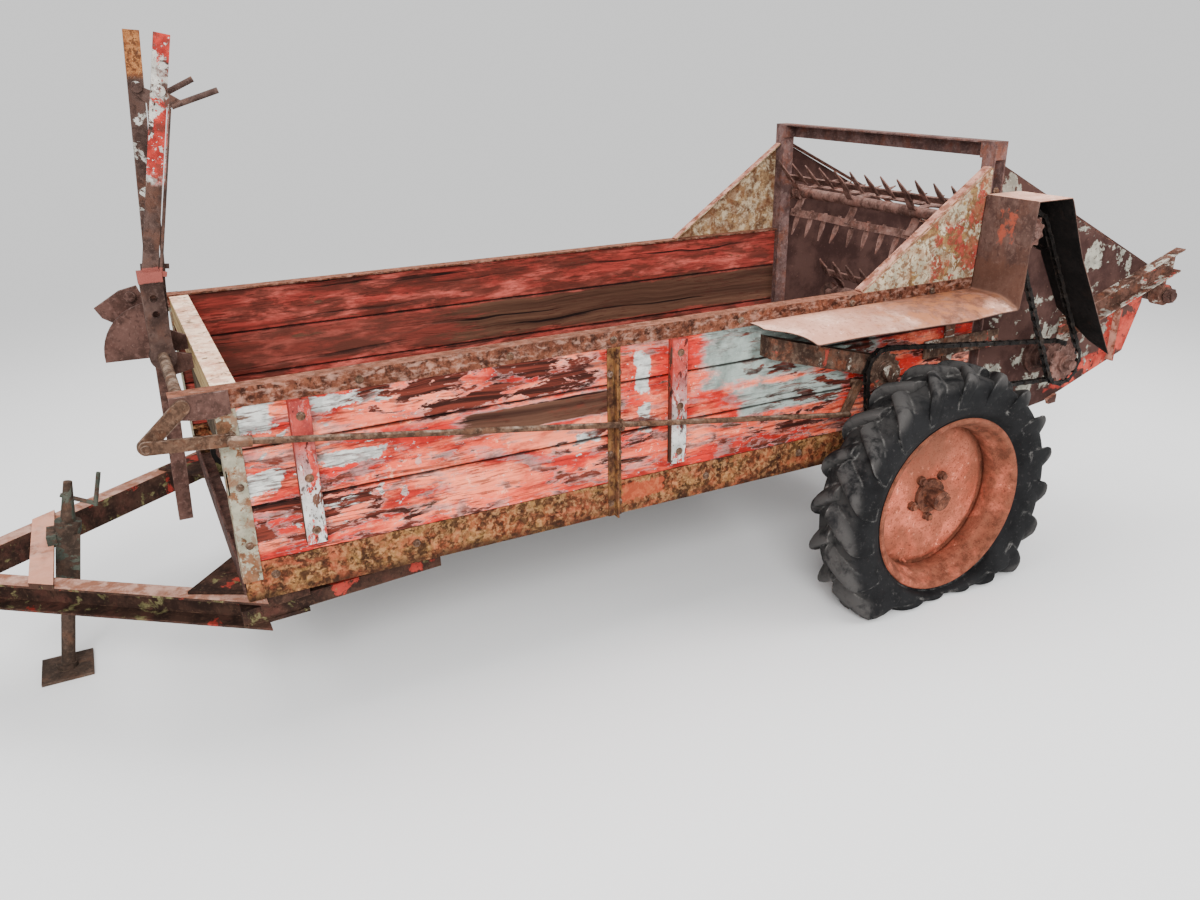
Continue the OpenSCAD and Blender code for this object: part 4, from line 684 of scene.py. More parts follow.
def drawbar_finish():
    """Drawbar: pink dusty top flanges, dark webs with moss and remains of red."""
    f = rusty("drawbar_paint", "241814", "3f2b23", "5a4335", "52322a", 0.3, 0.08, 0.9, "84634f")
    flaked(f, 1.0, ("75261f", "98362d", "ad5042"), 0.14, 0.24, 0.8, 0.2, shift=4.4)
    moss = f.tones("4f4a30", "77704c", "9a946e", 0.02)["Colour"]
    f.coat(f.faint(f.patches(0.05, 0.26, 0.03, shift=1.6), 0.8), moss, 0.97, 0.5)
    gusset = f.both(f.above(5, 6), f.wiring.less(f.above(9, 9.5)))
    top = f.without(f.both(f.facing_up(), f.above(-6, -4)), gusset)
    f.coat(top, f.tones("8a6152", "b08b7b", "c6a394", 0.06)["Colour"], 0.85)
    f.coat(f.faint(f.both(top, f.patches(0.04, 0.42, 0.06, shift=8.0)), 0.75), "7b4a35", 0.92)
    tie = f.both(top, f.above(9.2, 9.8))
    f.coat(f.faint(f.both(tie, f.patches(0.1, 0.7, 0.1, shift=5.0)), 0.8), "c98e78", 0.85)
    return f.done(specular=0.1)


def tail_rail_finish():
    """Tail rails: weathered white, pink and brown."""
    f = rusty("tail_rail_paint", "3a2720", "614339", "86604f", "74432f", 0.3, 0.05, 0.88, "b39a8a")
    flaked(f, 1.0, ("857f75", "a9a296", "c2bbae"), 0.06, 0.36, 0.85, 0.2, (0.5, 1, 1.4), 2.2)
    flaked(f, 1.0, ("8a352c", "a65045", "bd7a68"), 0.09, 0.28, 0.8, 0.2, (0.5, 1, 1.4), 6.2)
    f.coat(f.faint(f.settled(0.4), 0.5), "c0a08f", 0.9)
    return f.done(specular=0.1)


def rail_finish():
    """Top rails: finely speckled rust brown with a paler, pinkish top."""
    f = rusty("rail_rust", "2c1710", "70422f", "b07c68", "66392a", 0.4, 0.022, 0.88, "c09681")
    f.coat(f.faint(f.patches(0.018, 0.34, 0.08, (0.5, 1, 1), 2.6), 0.35), "c69a88", 0.9, 0.2)
    up = f.facing_up()
    pink = f.tones("66402f", "96604c", "d2a48f", 0.02, 0.58)["Colour"]
    f.coat(f.faint(f.both(up, f.patches(0.08, 0.66, 0.2, (0.5, 1, 1))), 0.85), pink, 0.85)
    f.coat(f.faint(f.both(up, f.patches(0.014, 0.3, 0.08, (0.6, 1, 1), 4.2)), 0.6), "6f4030", 0.9)
    return f.done(specular=0.1)


def corner_finish():
    """Front corner angles: pale grey-green primer with rust coming through."""
    f = rusty("corner_paint", "4a3526", "75533d", "9a7358", "8d5230", 0.3, 0.05, 0.9, "a08a70")
    flaked(f, 1.0, ("7a7766", "989380", "b2ac99"), 0.1, 0.64, 0.85, 0.25, shift=2.8)
    f.coat(f.faint(f.patches(0.06, 0.34, 0.05, shift=5.8), 0.8), "75503a", 0.95)
    f.coat(f.faint(f.patches(0.014, 0.34, 0.05, shift=3.8), 0.6), "6a4632", 0.95)
    return f.done(specular=0.1)


def jack_finish():
    """Parking jack: dark grey-green paint and brown rust, the leg and foot plain brown."""
    f = rusty("jack_paint", "2f2620", "4d3c33", "68564a", "5f4334", 0.3, 0.05, 0.88, "8a735f")
    flaked(f, f.above(-115, -112), ("363a33", "4b4e45", "666559"), 0.07, 0.5, 0.8, 0.2, shift=2.8)
    return f.done()


FINISHES = {
    "planks": plank_finish(),
    "boards": board_finish(),
    "beam": beam_finish(),
    "battens": batten_finish(),
    "sills": sill_finish(),
    "wings": wing_finish(),
    "guard": guard_finish(),
    "guard_inside_shade": guard_inner_finish(),
    "rims": rim_finish(),
    "rubber": rubber_finish(),
    "levers": lever_finish(),
    "drawbar": drawbar_finish(),
    "tail": tail_rail_finish(),
    "rails": rail_finish(),
    "corner": corner_finish(),
    "jack": jack_finish(),
    "arm": arm_finish(),
    "grease": rusty("greasy_steel", "0f0d0c", "1f1b19", "38302b", "3d2d22", 0.22, 0.03, 0.55,
                    "6b6058").done(0.25, 0.5),
}
# [name, dark, middle, light, blotches, their share, size, roughness, worn edges, dust on top]
PLAIN_STEEL = {
    "arch": ("arch_rust", "4a3633", "6e5450", "927b74", "6f3f2e", 0.34, 0.06, 0.88, "93705f", "8a6c5e"),
    "brown": ("brown_rust", "35231f", "5a413a", "796055", "68423a", 0.3, 0.06, 0.85, "8c6f62"),
    "stand": ("stand_rust", "35241f", "593f38", "7c5e56", "573a33", 0.2, 0.08, 0.85, "a48c84"),
    "post": ("post_rust", "2f1c14", "5f3c2a", "8a6544", "8a5f34", 0.4, 0.035, 0.9, "b08d5c"),
    "bar": ("bar_rust", "34241b", "614839", "927661", "63402e", 0.3, 0.03, 0.88, "b0998a", "b09a88"),
    "beaters": ("beater_rust", "4a332d", "7e5d54", "a5857b", "83564a", 0.3, 0.05, 0.8, "bd9d92", "a08075"),
    "hub": ("hub_rust", "39221a", "684133", "9c6855", "8a4f36", 0.3, 0.03, 0.85, "b08573"),
}
FINISHES.update((key, rusty(*tones).done()) for key, tones in PLAIN_STEEL.items())


# Surfaces

def soft_noise(points, size, seed):
    """Smooth random values from -1 to 1: random corners of a lattice of that size, blended by smoothstep."""
    table = np.random.default_rng(seed).random((16, 16, 16)) * 2 - 1
    q = np.asarray(points, float) / size
    cell = np.floor(q).astype(int)
    t = q - cell
    t = t * t * (3 - 2 * t)
    total = 0
    for corner in np.ndindex(2, 2, 2):
        index = (cell + corner) % 16
        weight = np.prod(np.where(corner, t, 1 - t), axis=-1)
        total = total + weight * table[index[..., 0], index[..., 1], index[..., 2]]
    return total


def world(s, y, h):
    """Points in metres from places in millimetres behind the front, to the left and up."""
    s, y, h = np.broadcast_arrays(s, y, h)
    return np.stack([FRONT_X - s * MM, y * MM, SILL_Z + h * MM], axis=-1)


def grid_faces(rows, columns, around=False, along=False):
    """Quads between neighbouring points of a grid, closed round its columns or its rows if asked."""
    i = np.arange(rows if along else rows - 1)[:, None]
    j = np.arange(columns if around else columns - 1)[None, :]
    i2, j2 = (i + 1) % rows, (j + 1) % columns
    quads = [i * columns + j, i2 * columns + j, i2 * columns + j2, i * columns + j2]
    shape = np.broadcast_shapes(i.shape, j.shape)
    return np.stack([np.broadcast_to(q, shape) for q in quads], axis=-1).reshape(-1, 4)


def joined(parts):
    """One mesh from several (points, faces), their numbering carried on."""
    points, faces, start = [], [], 0
    for more_points, more_faces in parts:
        points.append(more_points.reshape(-1, 3))
        faces += [tuple(int(k) + start for k in face) for face in more_faces]
        start += len(points[-1])
    return np.concatenate(points), faces


def closed_skin(rings, faces):
    """Points and faces, the order of the faces turned if the skin encloses a negative volume."""
    points = rings.reshape(-1, 3)
    volume = sum(float(np.dot(points[f[0]], np.cross(points[f[k]], points[f[k + 1]])))
                 for f in faces for k in range(1, len(f) - 1))
    return points, faces if volume > 0 else [tuple(reversed(f)) for f in faces]


def tube(rings):
    """A closed skin through rings of points, (count, around, 3), with its two ends capped."""
    count, around = rings.shape[:2]
    faces = list(map(tuple, grid_faces(count, around, around=True)))
    faces += [tuple(range(around))[::-1], tuple(range((count - 1) * around, count * around))]
    return closed_skin(rings, faces)


def hoop(rings):
    """A closed skin through rings of points, the last ring joined to the first."""
    return closed_skin(rings, grid_faces(*rings.shape[:2], around=True, along=True))


def piece(name, points, faces, finishes, body, slot, replaced=(), smooth_angle=40):
    """Makes a mesh object in place, gives it its finish and puts it on its body."""
    mesh = bpy.data.meshes.new(name)
    faces = [tuple(int(k) for k in face) for face in faces]
    mesh.from_pydata(np.asarray(points).reshape(-1, 3).tolist(), [], faces)
    mesh.validate()
    mesh.shade_smooth()
    mesh.set_sharp_from_angle(angle=math.radians(smooth_angle))
    for key in [finishes] if isinstance(finishes, str) else finishes:
        mesh.materials.append(FINISHES[key])
    made = bpy.data.objects.new(name, mesh)
    scene.collection.objects.link(made)
    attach(made, body)
    if replaced:
        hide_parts(*replaced)
    return made


def rounded_outline(width, height, corner, spacing):
    """Points round a rectangle whose corners are arcs, set out at nearly even distances."""
    arc = np.linspace(0, np.pi / 2, 4)[:, None]
    corners = [(width / 2 - corner, height / 2 - corner, 0), (corner - width / 2, height / 2 - corner, 1),
               (corner - width / 2, corner - height / 2, 2), (width / 2 - corner, corner - height / 2, 3)]
    points = np.concatenate([np.hstack([cx + corner * np.cos(arc + k * np.pi / 2),
                                        cy + corner * np.sin(arc + k * np.pi / 2)])
                             for cx, cy, k in corners])
    filled = []
    for a, b in zip(points, np.roll(points, -1, axis=0)):
        steps = max(1, int(np.hypot(*(b - a)) / spacing))
        filled.append(a + (b - a) * (np.arange(steps) / steps)[:, None])
    return np.concatenate(filled)


def worn_bar(low, high, axis, corner, wear, seed, spacing=12.0, chips=0.0):
    """A sawn bar between two corners [s, y, h]: a rounded outline carried along the axis, with its
    skin shaken by noise and its long edges chipped."""
    low, high = np.array(low, float), np.array(high, float)
    size, middle = high - low, (low + high) / 2
    others = [k for k in range(3) if k != axis]
    outline = rounded_outline(size[others[0]], size[others[1]], corner, spacing)
    stations = np.linspace(-size[axis] / 2, size[axis] / 2, max(2, int(size[axis] / spacing) + 1))
    shape = np.zeros((len(stations), len(outline), 3))
    shape[..., axis] = stations[:, None]
    shape[..., others[0]], shape[..., others[1]] = outline[None, :, 0], outline[None, :, 1]
    near_corner = np.all(np.abs(outline) > size[others] / 2 - corner, axis=1)
    stretch = np.ones(3)
    stretch[axis] = 0.22
    bite = np.clip(soft_noise(shape * stretch + seed * 17.0, 14.0, seed) - 0.35, 0, 1) * chips
    inward = -np.sign(shape) * (bite * near_corner)[..., None] * (np.arange(3) != axis)
    shake = [soft_noise(shape * stretch + 31.0 * k + seed, 45.0, seed + k) for k in range(3)]
    shake = np.stack(shake, axis=-1) * wear * 0.5
    shake[..., axis] = 0
    shape = np.clip(shape + inward + shake, -size / 2, size / 2) + middle
    return tube(world(shape[..., 0], shape[..., 1], shape[..., 2]))


def on_side(sign, parts):
    """The left side's parts, or for a sign of -1 their twins, with faces turned to point outwards."""
    if sign > 0:
        return parts
    return [(points * [1, -1, 1], [tuple(reversed(face)) for face in faces]) for points, faces in parts]


def make_planks():
    """Three boards a side, each its own worn bar between the sill and the rail."""
    for side, sign in SIDES.items():
        bars = []
        for i in range(PLANK_COUNT):
            low = SILL_H + i * PLANK_PITCH
            corners = (0, HALF_W - PLANK_T, low), (PLANK_END, HALF_W, low + PLANK_PITCH - PLANK_GAP)
            bars.append(worn_bar(*corners, axis=0, corner=3.5, wear=1.6, seed=11 + i + (sign > 0) * 5,
                                 spacing=11.0, chips=6.0))
        piece(f"planks_{side}_worn", *joined(on_side(sign, bars)), "planks", "frame", "red_planks",
              [f"planks_{side}"])


# how far the tee's rib and the corner angle's legs reach, and how thick a stake is
TEE_RIB, ANGLE_LEG, STAKE_T = 26, 40, 8
THIN_STEEL = {"axis": 2, "corner": 1, "wear": 0.5}


def make_posts():
    """Corner angles, tee posts, battens and stakes of both sides, each in its own finish."""
    top, wall = POST_TOP, HALF_W + STEEL_T
    rib = np.mean(TEE_S) + np.array([-0.5, 0.5]) * STEEL_T
    for side, sign in SIDES.items():
        battens = [worn_bar((s, HALF_W, SILL_H + 30), (s + BATTEN_WIDE, HALF_W + BATTEN_T, top),
                            axis=2, corner=3, wear=1.5, seed=30 + s, spacing=9, chips=5.0)
                   for s in BATTENS_S]
        steel = [worn_bar((TEE_S[0], HALF_W, 0), (TEE_S[1], wall, top), **THIN_STEEL, seed=4),
                 worn_bar((rib[0], HALF_W, 0), (rib[1], HALF_W + TEE_RIB, top), **THIN_STEEL, seed=5)]
        angle = [worn_bar((-STEEL_T, HALF_W, CORNER_LOW), (ANGLE_LEG, wall, top), **THIN_STEEL, seed=6),
                 worn_bar((-STEEL_T, HALF_W - ANGLE_LEG, CORNER_LOW), (0, wall, top), **THIN_STEEL, seed=7)]
        stake = [worn_bar((STAKE_S[0], HALF_W, 0), (STAKE_S[1], HALF_W + STAKE_T, top),
                          axis=2, corner=1.5, wear=0.6, seed=8)]
        for label, bars, finish, slot in (("battens", battens, "battens", "red_planks"),
                                          ("tee_post", steel, "post", "rusty_steel"),
                                          ("corner_angle", angle, "corner", "rusty_steel"),
                                          ("stake", stake, "tail", "rusty_steel")):
            piece(f"{label}_{side}", *joined(on_side(sign, bars)), finish, "frame", slot)
        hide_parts(f"posts_{side}")


def through(rows, count):
    """Points at even steps along a smooth curve through the rows of a table (Catmull-Rom)."""
    rows = np.asarray(rows, float)
    padded = np.vstack([2 * rows[0] - rows[1], rows, 2 * rows[-1] - rows[-2]])
    t = np.linspace(0, len(rows) - 1, count)
    k = np.minimum(t.astype(int), len(rows) - 2)
    u = (t - k)[:, None]
    a, b, c, d = padded[k], padded[k + 1], padded[k + 2], padded[k + 3]
    return 0.5 * (2 * b + (c - a) * u + (2 * a - 5 * b + 4 * c - d) * u ** 2
                  + (3 * b - a - 3 * c + d) * u ** 3)


# Tyres and rims

TYRE_R, LUGS, TYRE_TURNS = 425.0, 19, 228
AXLE_Z = 308.0
FOLD_R = 287.0
# where the tread meets the ground, in degrees from straight down, and how far its walls spread there
FLAT_END, FLAT_SPREAD = 60, 0.2
# the bulge: how far out, how many degrees off the ground's middle, where it ends and how fast it falls
BULGE_OUT, BULGE_AT, BULGE_END, BULGE_FALL = 16, 48, 85, 2.4
# section of the carcass from one bead to the crown: [across, out]
CARCASS = [(57, 264.5), (63, 266), (66.5, 272), (67.5, 279), (69, 285), (73, 290), (83, 301),
           (91, 325), (92, 350), (86, 374), (70, 390), (40, 396), (0, 398)]
# one lug from the middle to the side wall:
# [root across, root out, top across, top out, degrees on, half width in degrees]
LUG = [(-9, 388, -9, 424, 0.0, 2.2), (30, 388, 32, 425, -4.0, 2.2), (64, 380, 77, 421, -8.2, 2.35),
       (81, 357, 93, 400, -12.2, 2.3), (88, 335, 96, 360, -15.0, 2.1), (89, 320, 93, 327, -16.0, 1.4)]
# section of a lug: [share of the half width, share of the height]
LUG_SECTION = [(-1.15, 0.0), (-1.0, 0.6), (-0.84, 0.9), (-0.55, 1.0), (0.1, 1.02), (0.8, 0.95),
               (1.6, 0.74), (2.5, 0.4), (3.3, 0.14), (4.1, 0.0)]


def flat_tyre(angle, across, out):
    """Bends a point of the free tyre to the parked one: the tread is pressed flat on the ground
    below the wheel, bulges ahead of and behind it, and the side walls spread there."""
    angle = (angle + 180) % 360 - 180
    near = np.abs(angle)
    bulge = np.clip(np.cos(np.radians(BULGE_FALL * (near - BULGE_AT))), 0, None) * (near < BULGE_END)
    tip = TYRE_R + BULGE_OUT * bulge
    ground = AXLE_Z / np.cos(np.radians(np.minimum(near, FLAT_END)))
    tip = np.where(near < FLAT_END, np.minimum(tip, ground), tip)
    squeezed = FOLD_R + (out - FOLD_R) * (tip - FOLD_R) / (TYRE_R - FOLD_R)
    out = np.where(out > FOLD_R, squeezed, out)
    wide = np.where(near < FLAT_END, 1 + FLAT_SPREAD * np.sin(np.radians(180 / FLAT_END * near)), 1.0)
    return np.radians(angle), np.where(out > FOLD_R, across * wide, across), out


def wheel_points(angle, across, out):
    """World points of the wheel from degrees ahead of straight down, mm across and mm out."""
    s = AXLE_S - out * np.sin(angle)
    return world(s, WHEEL_Y + across, AXLE_H - out * np.cos(angle))


def tyre_mesh():
    """Carcass: its section carried round the wheel. Lugs: their section carried along a curve
    from the crown down the side wall, on both sides in turn."""
    half = through(CARCASS, 34)
    section = np.vstack([half, half[-2::-1] * [-1, 1]])
    angles = np.linspace(0, 360, TYRE_TURNS, endpoint=False)[:, None]
    parts = [hoop(wheel_points(*flat_tyre(angles, section[None, :, 0], section[None, :, 1])))]
    line = through(LUG, 12)
    cut = np.array(LUG_SECTION)
    for side in (1, -1):
        for i in range(LUGS):
            start = 360 / LUGS * (i + (0 if side > 0 else 0.5))
            wander = 1 + 0.06 * np.sin(i * 2.4)
            root, top = line[:, None, 0:2], line[:, None, 2:4]
            place = root + (top - root) * cut[None, :, 1:2] * wander ** 0.3
            angle = start + line[:, None, 4] + line[:, None, 5] * cut[None, :, 0]
            parts.append(tube(wheel_points(*flat_tyre(angle, place[..., 0] * side, place[..., 1]))))
    return joined(parts)


# outline of the rim [out, across], the barrel with its flanges and then the disc with its pressed edge
RIM_BARREL = [(281, 70), (278, 74), (271, 74), (264, 70), (258, 62), (254, 48), (249, 36), (240, 27),
              (236, 20), (236, -20), (240, -27), (249, -36), (254, -48), (258, -62), (264, -70),
              (271, -74), (278, -74), (281, -70), (276, -69), (268, -66), (262, -58), (259, -47),
              (256, -34), (246, -24), (241, -17), (241, 17), (246, 24), (256, 34), (259, 47), (262, 58),
              (268, 66), (276, 69)]
DISC_W = -24
RIM_DISC = [(50, 0), (150, 0), (182, -0.5), (210, -1), (219, -3), (226, -8), (233, -12), (244, -13.5),
            (256, -14), (256, -20), (243, -19.5), (231, -18), (223, -13), (216, -8.5), (208, -6.5),
            (180, -6), (50, -6)]
VALVE = [(0, -12), (9, -12), (9, -3), (7, -2), (4, -2), (4, 12), (3, 14), (0, 14)]
VALVE_PLACE = (225, 20.0)


def lathe(section, turns=144):
    """A closed section [out, across] carried once round the wheel's axis."""
    section = np.array(section, float)
    angles = np.radians(np.linspace(0, 360, turns, endpoint=False))[:, None]
    return hoop(wheel_points(angles, section[None, :, 1], section[None, :, 0]))


def lathe_on(place, section, turns=20):
    """A small turned button on the wheel's disc at [mm out, degrees]."""
    out, degrees = place
    section = np.array(section, float)
    angles = np.linspace(0, 2 * np.pi, turns, endpoint=False)[:, None]
    turn = np.radians(degrees)
    s = AXLE_S - out * np.sin(turn) + section[None, :, 0] * np.cos(angles)
    h = AXLE_H - out * np.cos(turn) + section[None, :, 0] * np.sin(angles)
    return hoop(world(s, WHEEL_Y + DISC_W + section[None, :, 1], h))


def make_wheels():
    """Tyres and rims of both sides."""
    tyre = tyre_mesh()
    disc = [(out, DISC_W + across) for out, across in RIM_DISC]
    rim = joined([lathe(RIM_BARREL), lathe(disc), lathe_on(VALVE_PLACE, VALVE)])
    for side, sign in SIDES.items():
        rubber, steel = on_side(sign, (tyre, rim))
        body = f"wheel_{side}"
        piece(f"tyre_{side}_lugged", *rubber, "rubber", body, "tyre", [f"tyre_{side}"], 50)
        piece(f"rim_{side}_pressed", *steel, "rims", body, "rim_paint", [f"rim_{side}"], 40)


# Chain guard

GUARD_IN, GUARD_OUT, GUARD_TAIL_IN = 555.0, 750.0, 592.0
GUARD_T = 3.0
GUARD_COLUMNS = 40
SHELF_S, SHELF_END, SHELF_H = 1430, 2284, 501
FRONT_FACE_S, GUARD_TOP_S, GUARD_TOP_H = 2288, 2306, 792
# the falling sheet behind: heights, and how far back it is there
FALL_H, FALL_S = [262, 600, 790], [2755, 2545, 2451]
# the shelf: how far it slopes and its outer edge droops, and how far back its front corner is torn
SHELF_SLOPE, SHELF_DROOP, TORN_BACK = 4, 28, 88


def make_guard():
    """Bent sheet: a strip carried along the outline, its width from the side out, with the shelf's
    outer edge drooping, its front corner torn away and its lower end cut askew."""
    across = np.linspace(0, 1, GUARD_COLUMNS)
    shelf_h = SHELF_H - SHELF_SLOPE * across - SHELF_DROOP * np.clip((across - 0.55) / 0.45, 0, 1) ** 1.6
    torn = TORN_BACK * np.clip((across - 0.35) / 0.65, 0, 1) ** 0.8
    front = SHELF_S + torn + 5 * np.sin(across * 9)
    shelf = np.linspace(0, 1, 70)[:, None]
    shelf_s = front + (SHELF_END - front) * shelf
    wave = 5 * np.sin(shelf_s / 190) * across ** 3
    rise = np.linspace(0.02, 1, 26)[:, None]
    top = np.linspace(0.03, 1, 14)[:, None]
    tip_h = np.interp(across, [0, 0.6, 1.0], [400, 300, FALL_H[0]])
    fall_h = FALL_H[-1] + (tip_h - FALL_H[-1]) * np.linspace(0.02, 1, 44)[:, None]
    rows = [(shelf_s, shelf_h + wave * shelf * (1 - shelf) * 4),
            (FRONT_FACE_S + 17 * rise + 0 * across, shelf_h + (GUARD_TOP_H - shelf_h) * rise),
            (GUARD_TOP_S + 142 * top + 0 * across, GUARD_TOP_H + 0 * top + 0 * across),
            (np.interp(fall_h, FALL_H, FALL_S), fall_h)]
    s, h = (np.vstack([row[k] for row in rows]) for k in (0, 1))
    inner = np.where(s > 2540, GUARD_TAIL_IN, GUARD_IN)
    y = inner + (GUARD_OUT - inner) * across[None, :]
    dent = soft_noise(np.stack([s, y * 1.2, h], axis=-1), 130.0, 5) * 3.0 * (across[None, :] ** 0.5)
    on_shelf = h < SHELF_H + 19
    points = world(s, y, h - dent * on_shelf)
    points[..., 0] += dent * MM * ~on_shelf
    faces = grid_faces(*s.shape)
    made = piece("chain_guard_sheet", points, [tuple(f)[::-1] for f in faces],
                 ["guard", "guard_inside_shade"], "frame", "rusty_steel", ["chain_guard"], 35)
    wall = made.modifiers.new("wall", "SOLIDIFY")
    wall.thickness, wall.offset = GUARD_T * MM, -1.0
    # the inside of the sheet takes the near-black painted shade finish
    wall.material_offset = 1
    wall.material_offset_rim = 0


# Roller chains

LINK_PITCH = 38.0


def pitch_r(teeth):
    """Radius of the circle through the pins round a sprocket."""
    return LINK_PITCH / 2 / math.sin(math.pi / teeth)


UPPER_TEETH = 10
# round what the chains run: [s, h, radius], negative where the chain passes outside
MAIN_CIRCLES = [(AXLE_S, AXLE_H, pitch_r(21)), (2260, 140, -42.0), (TAIL_S, TAIL_H, pitch_r(11)),
                (1885, 310, pitch_r(11))]
BEATER_CIRCLES = [(TAIL_S, TAIL_H, pitch_r(12)), (UPPER_S, UPPER_H, pitch_r(UPPER_TEETH))]
# how far out the inner and the outer plates of a link start, and their thickness
LINK_PLATES = [(5.4, 1.8), (7.4, 1.6)]


def pins(circles):
    """Even places [s, h] of the pins: arcs round the circles joined by their tangents."""
    circles = np.array(circles, float)
    before, after = np.roll(circles, 1, axis=0), np.roll(circles, -1, axis=0)

    def heading(a, b):
        step = b[:, :2] - a[:, :2]
        return np.arctan2(step[:, 1], step[:, 0]) - np.arcsin((b[:, 2] - a[:, 2]) / np.hypot(*step.T))

    come, leave = heading(before, circles), heading(circles, after)
    turn = np.where(circles[:, 2] > 0, (leave - come) % (2 * np.pi), -((come - leave) % (2 * np.pi)))
    line = []
    for (s, h, r), start, angle in zip(circles, come, turn):
        g = start + angle * np.linspace(0, 1, 90)
        line.append(np.stack([s + r * np.sin(g), h - r * np.cos(g)], axis=-1))
    line = np.vstack(line + [line[0][:1]])
    run = np.concatenate([[0], np.cumsum(np.hypot(*np.diff(line, axis=0).T))])
    count = 2 * round(run[-1] / LINK_PITCH / 2)
    at = np.linspace(0, run[-1], count, endpoint=False)
    return np.stack([np.interp(at, run, line[:, k]) for k in (0, 1)], axis=-1)


def prism(outline, y0, y1):
    """A flat plate: an outline [s, h] drawn out across the machine."""
    outline = np.asarray(outline, float)
    return tube(np.stack([world(outline[:, 0], y, outline[:, 1]) for y in (y0, y1)]))


def link_outline(a, b, r, waist):
    """The figure of eight of one link plate: two round eyes with a waist between."""
    along = (b - a) / np.hypot(*(b - a))
    side = np.array([-along[1], along[0]])
    g = np.radians([-120, -80, -40, 0, 40, 80, 120])[:, None]
    fore = b + r * (np.cos(g) * along + np.sin(g) * side)
    aft = a - r * (np.cos(g) * along + np.sin(g) * side)
    middle = (a + b) / 2
    return np.vstack([fore, middle + side * waist, aft, middle - side * waist])


def make_chain(name, circles, y, replaced):
    """Outer and inner link plates in turn, with a roller and its riveted pin at every joint."""
    at = pins(circles)
    g = np.linspace(0, 2 * np.pi, 8, endpoint=False)
    circle = np.stack([np.cos(g), np.sin(g)], axis=-1)
    parts = []
    for k in range(len(at)):
        a, b = at[k], at[(k + 1) % len(at)]
        gap, thick = LINK_PLATES[k % 2]
        for sign in (-1, 1):
            y0, y1 = sorted((y + sign * gap, y + sign * (gap + thick)))
            parts.append(prism(link_outline(a, b, 8.0, 5.6), y0, y1))
        for radius, half in ((6.0, 5.2), (2.8, 10.5)):
            parts.append(prism(a + radius * circle, y - half, y + half))
    piece(name, *joined(parts), "grease", "frame", "greasy_steel", replaced, 30)


# Beater of pointed leaves

UPPER_TURN = 42.0
BEATER_HALF = 488.0
UPPER_BAR, UPPER_TIP, LEAVES, BARS = 82.0, 171.0, 12, 3
LEAF_ROOT = UPPER_BAR - 20
# along a leaf: share of its length and its width there
LEAF_RISE = [0, 0.16, 0.34, 0.5, 0.68, 0.85, 1.0]
LEAF_WIDTH = [15, 15, 21, 25, 19, 10, 1.5]
# where the bent straps stand, as shares of the half length, and one tooth of the sprocket
STRAPS = (-0.94, -0.3, 0.36, 0.94)
TOOTH = [0.12, 0.3, 0.42, 0.58, 0.7, 0.88]


def flat_strip(line, widths, thick, place):
    """A thin strip: a line [along, out, aside] whose width lies along the axis, carried through place()."""
    line, widths = np.asarray(line, float), np.asarray(widths, float)[:, None]
    step = np.gradient(line, axis=0)
    normal = np.stack([-step[:, 2], step[:, 1]], axis=-1)
    normal /= np.linalg.norm(normal, axis=1, keepdims=True)
    edge = np.array([-1.0, -1.0, 1.0, 1.0]) / 2
    face = np.array([-1.0, 1.0, 1.0, -1.0]) / 2 * thick
    across = line[:, :1] + widths * edge
    out = line[:, 1:2] + normal[:, :1] * face
    aside = line[:, 2:3] + normal[:, 1:2] * face
    return tube(place(across, out, aside))


def beater_place(degrees):
    """Carries [along the axis, out, aside] to the beater turned by some degrees."""
    turn = np.radians(UPPER_TURN + degrees)

    def place(across, out, aside):
        ahead = out * np.sin(turn) + aside * np.cos(turn)
        up = out * np.cos(turn) - aside * np.sin(turn)
        return world(UPPER_S - ahead, across, UPPER_H + up)
    return place


def turned_on_axis(rows, turns=24):
    """A closed skin of rings [along the axis, radius] round the beater's axis."""
    rows = np.asarray(rows, float)
    place = beater_place(0.0)
    g = np.linspace(0, 2 * np.pi, turns, endpoint=False)[None, :]
    return tube(place(rows[:, :1] + 0 * g, rows[:, 1:] * np.cos(g), rows[:, 1:] * np.sin(g)))


def worn_plate(inner, outer, end, place):
    """A flat bar the length of the beater, its edges shaken a little, from the inner to the outer edge."""
    stations = np.linspace(-end, end, 60)
    shake = soft_noise(np.stack([stations, 0 * stations, 0 * stations], axis=-1), 60.0, 21) * 1.6
    rings = np.empty((len(stations), 4, 3))
    for j, (edge, face) in enumerate([(inner, -3), (outer, -3), (outer, 3), (inner, 3)]):
        rings[:, j] = place(stations, edge + shake, face + 0 * stations)
    return tube(rings)


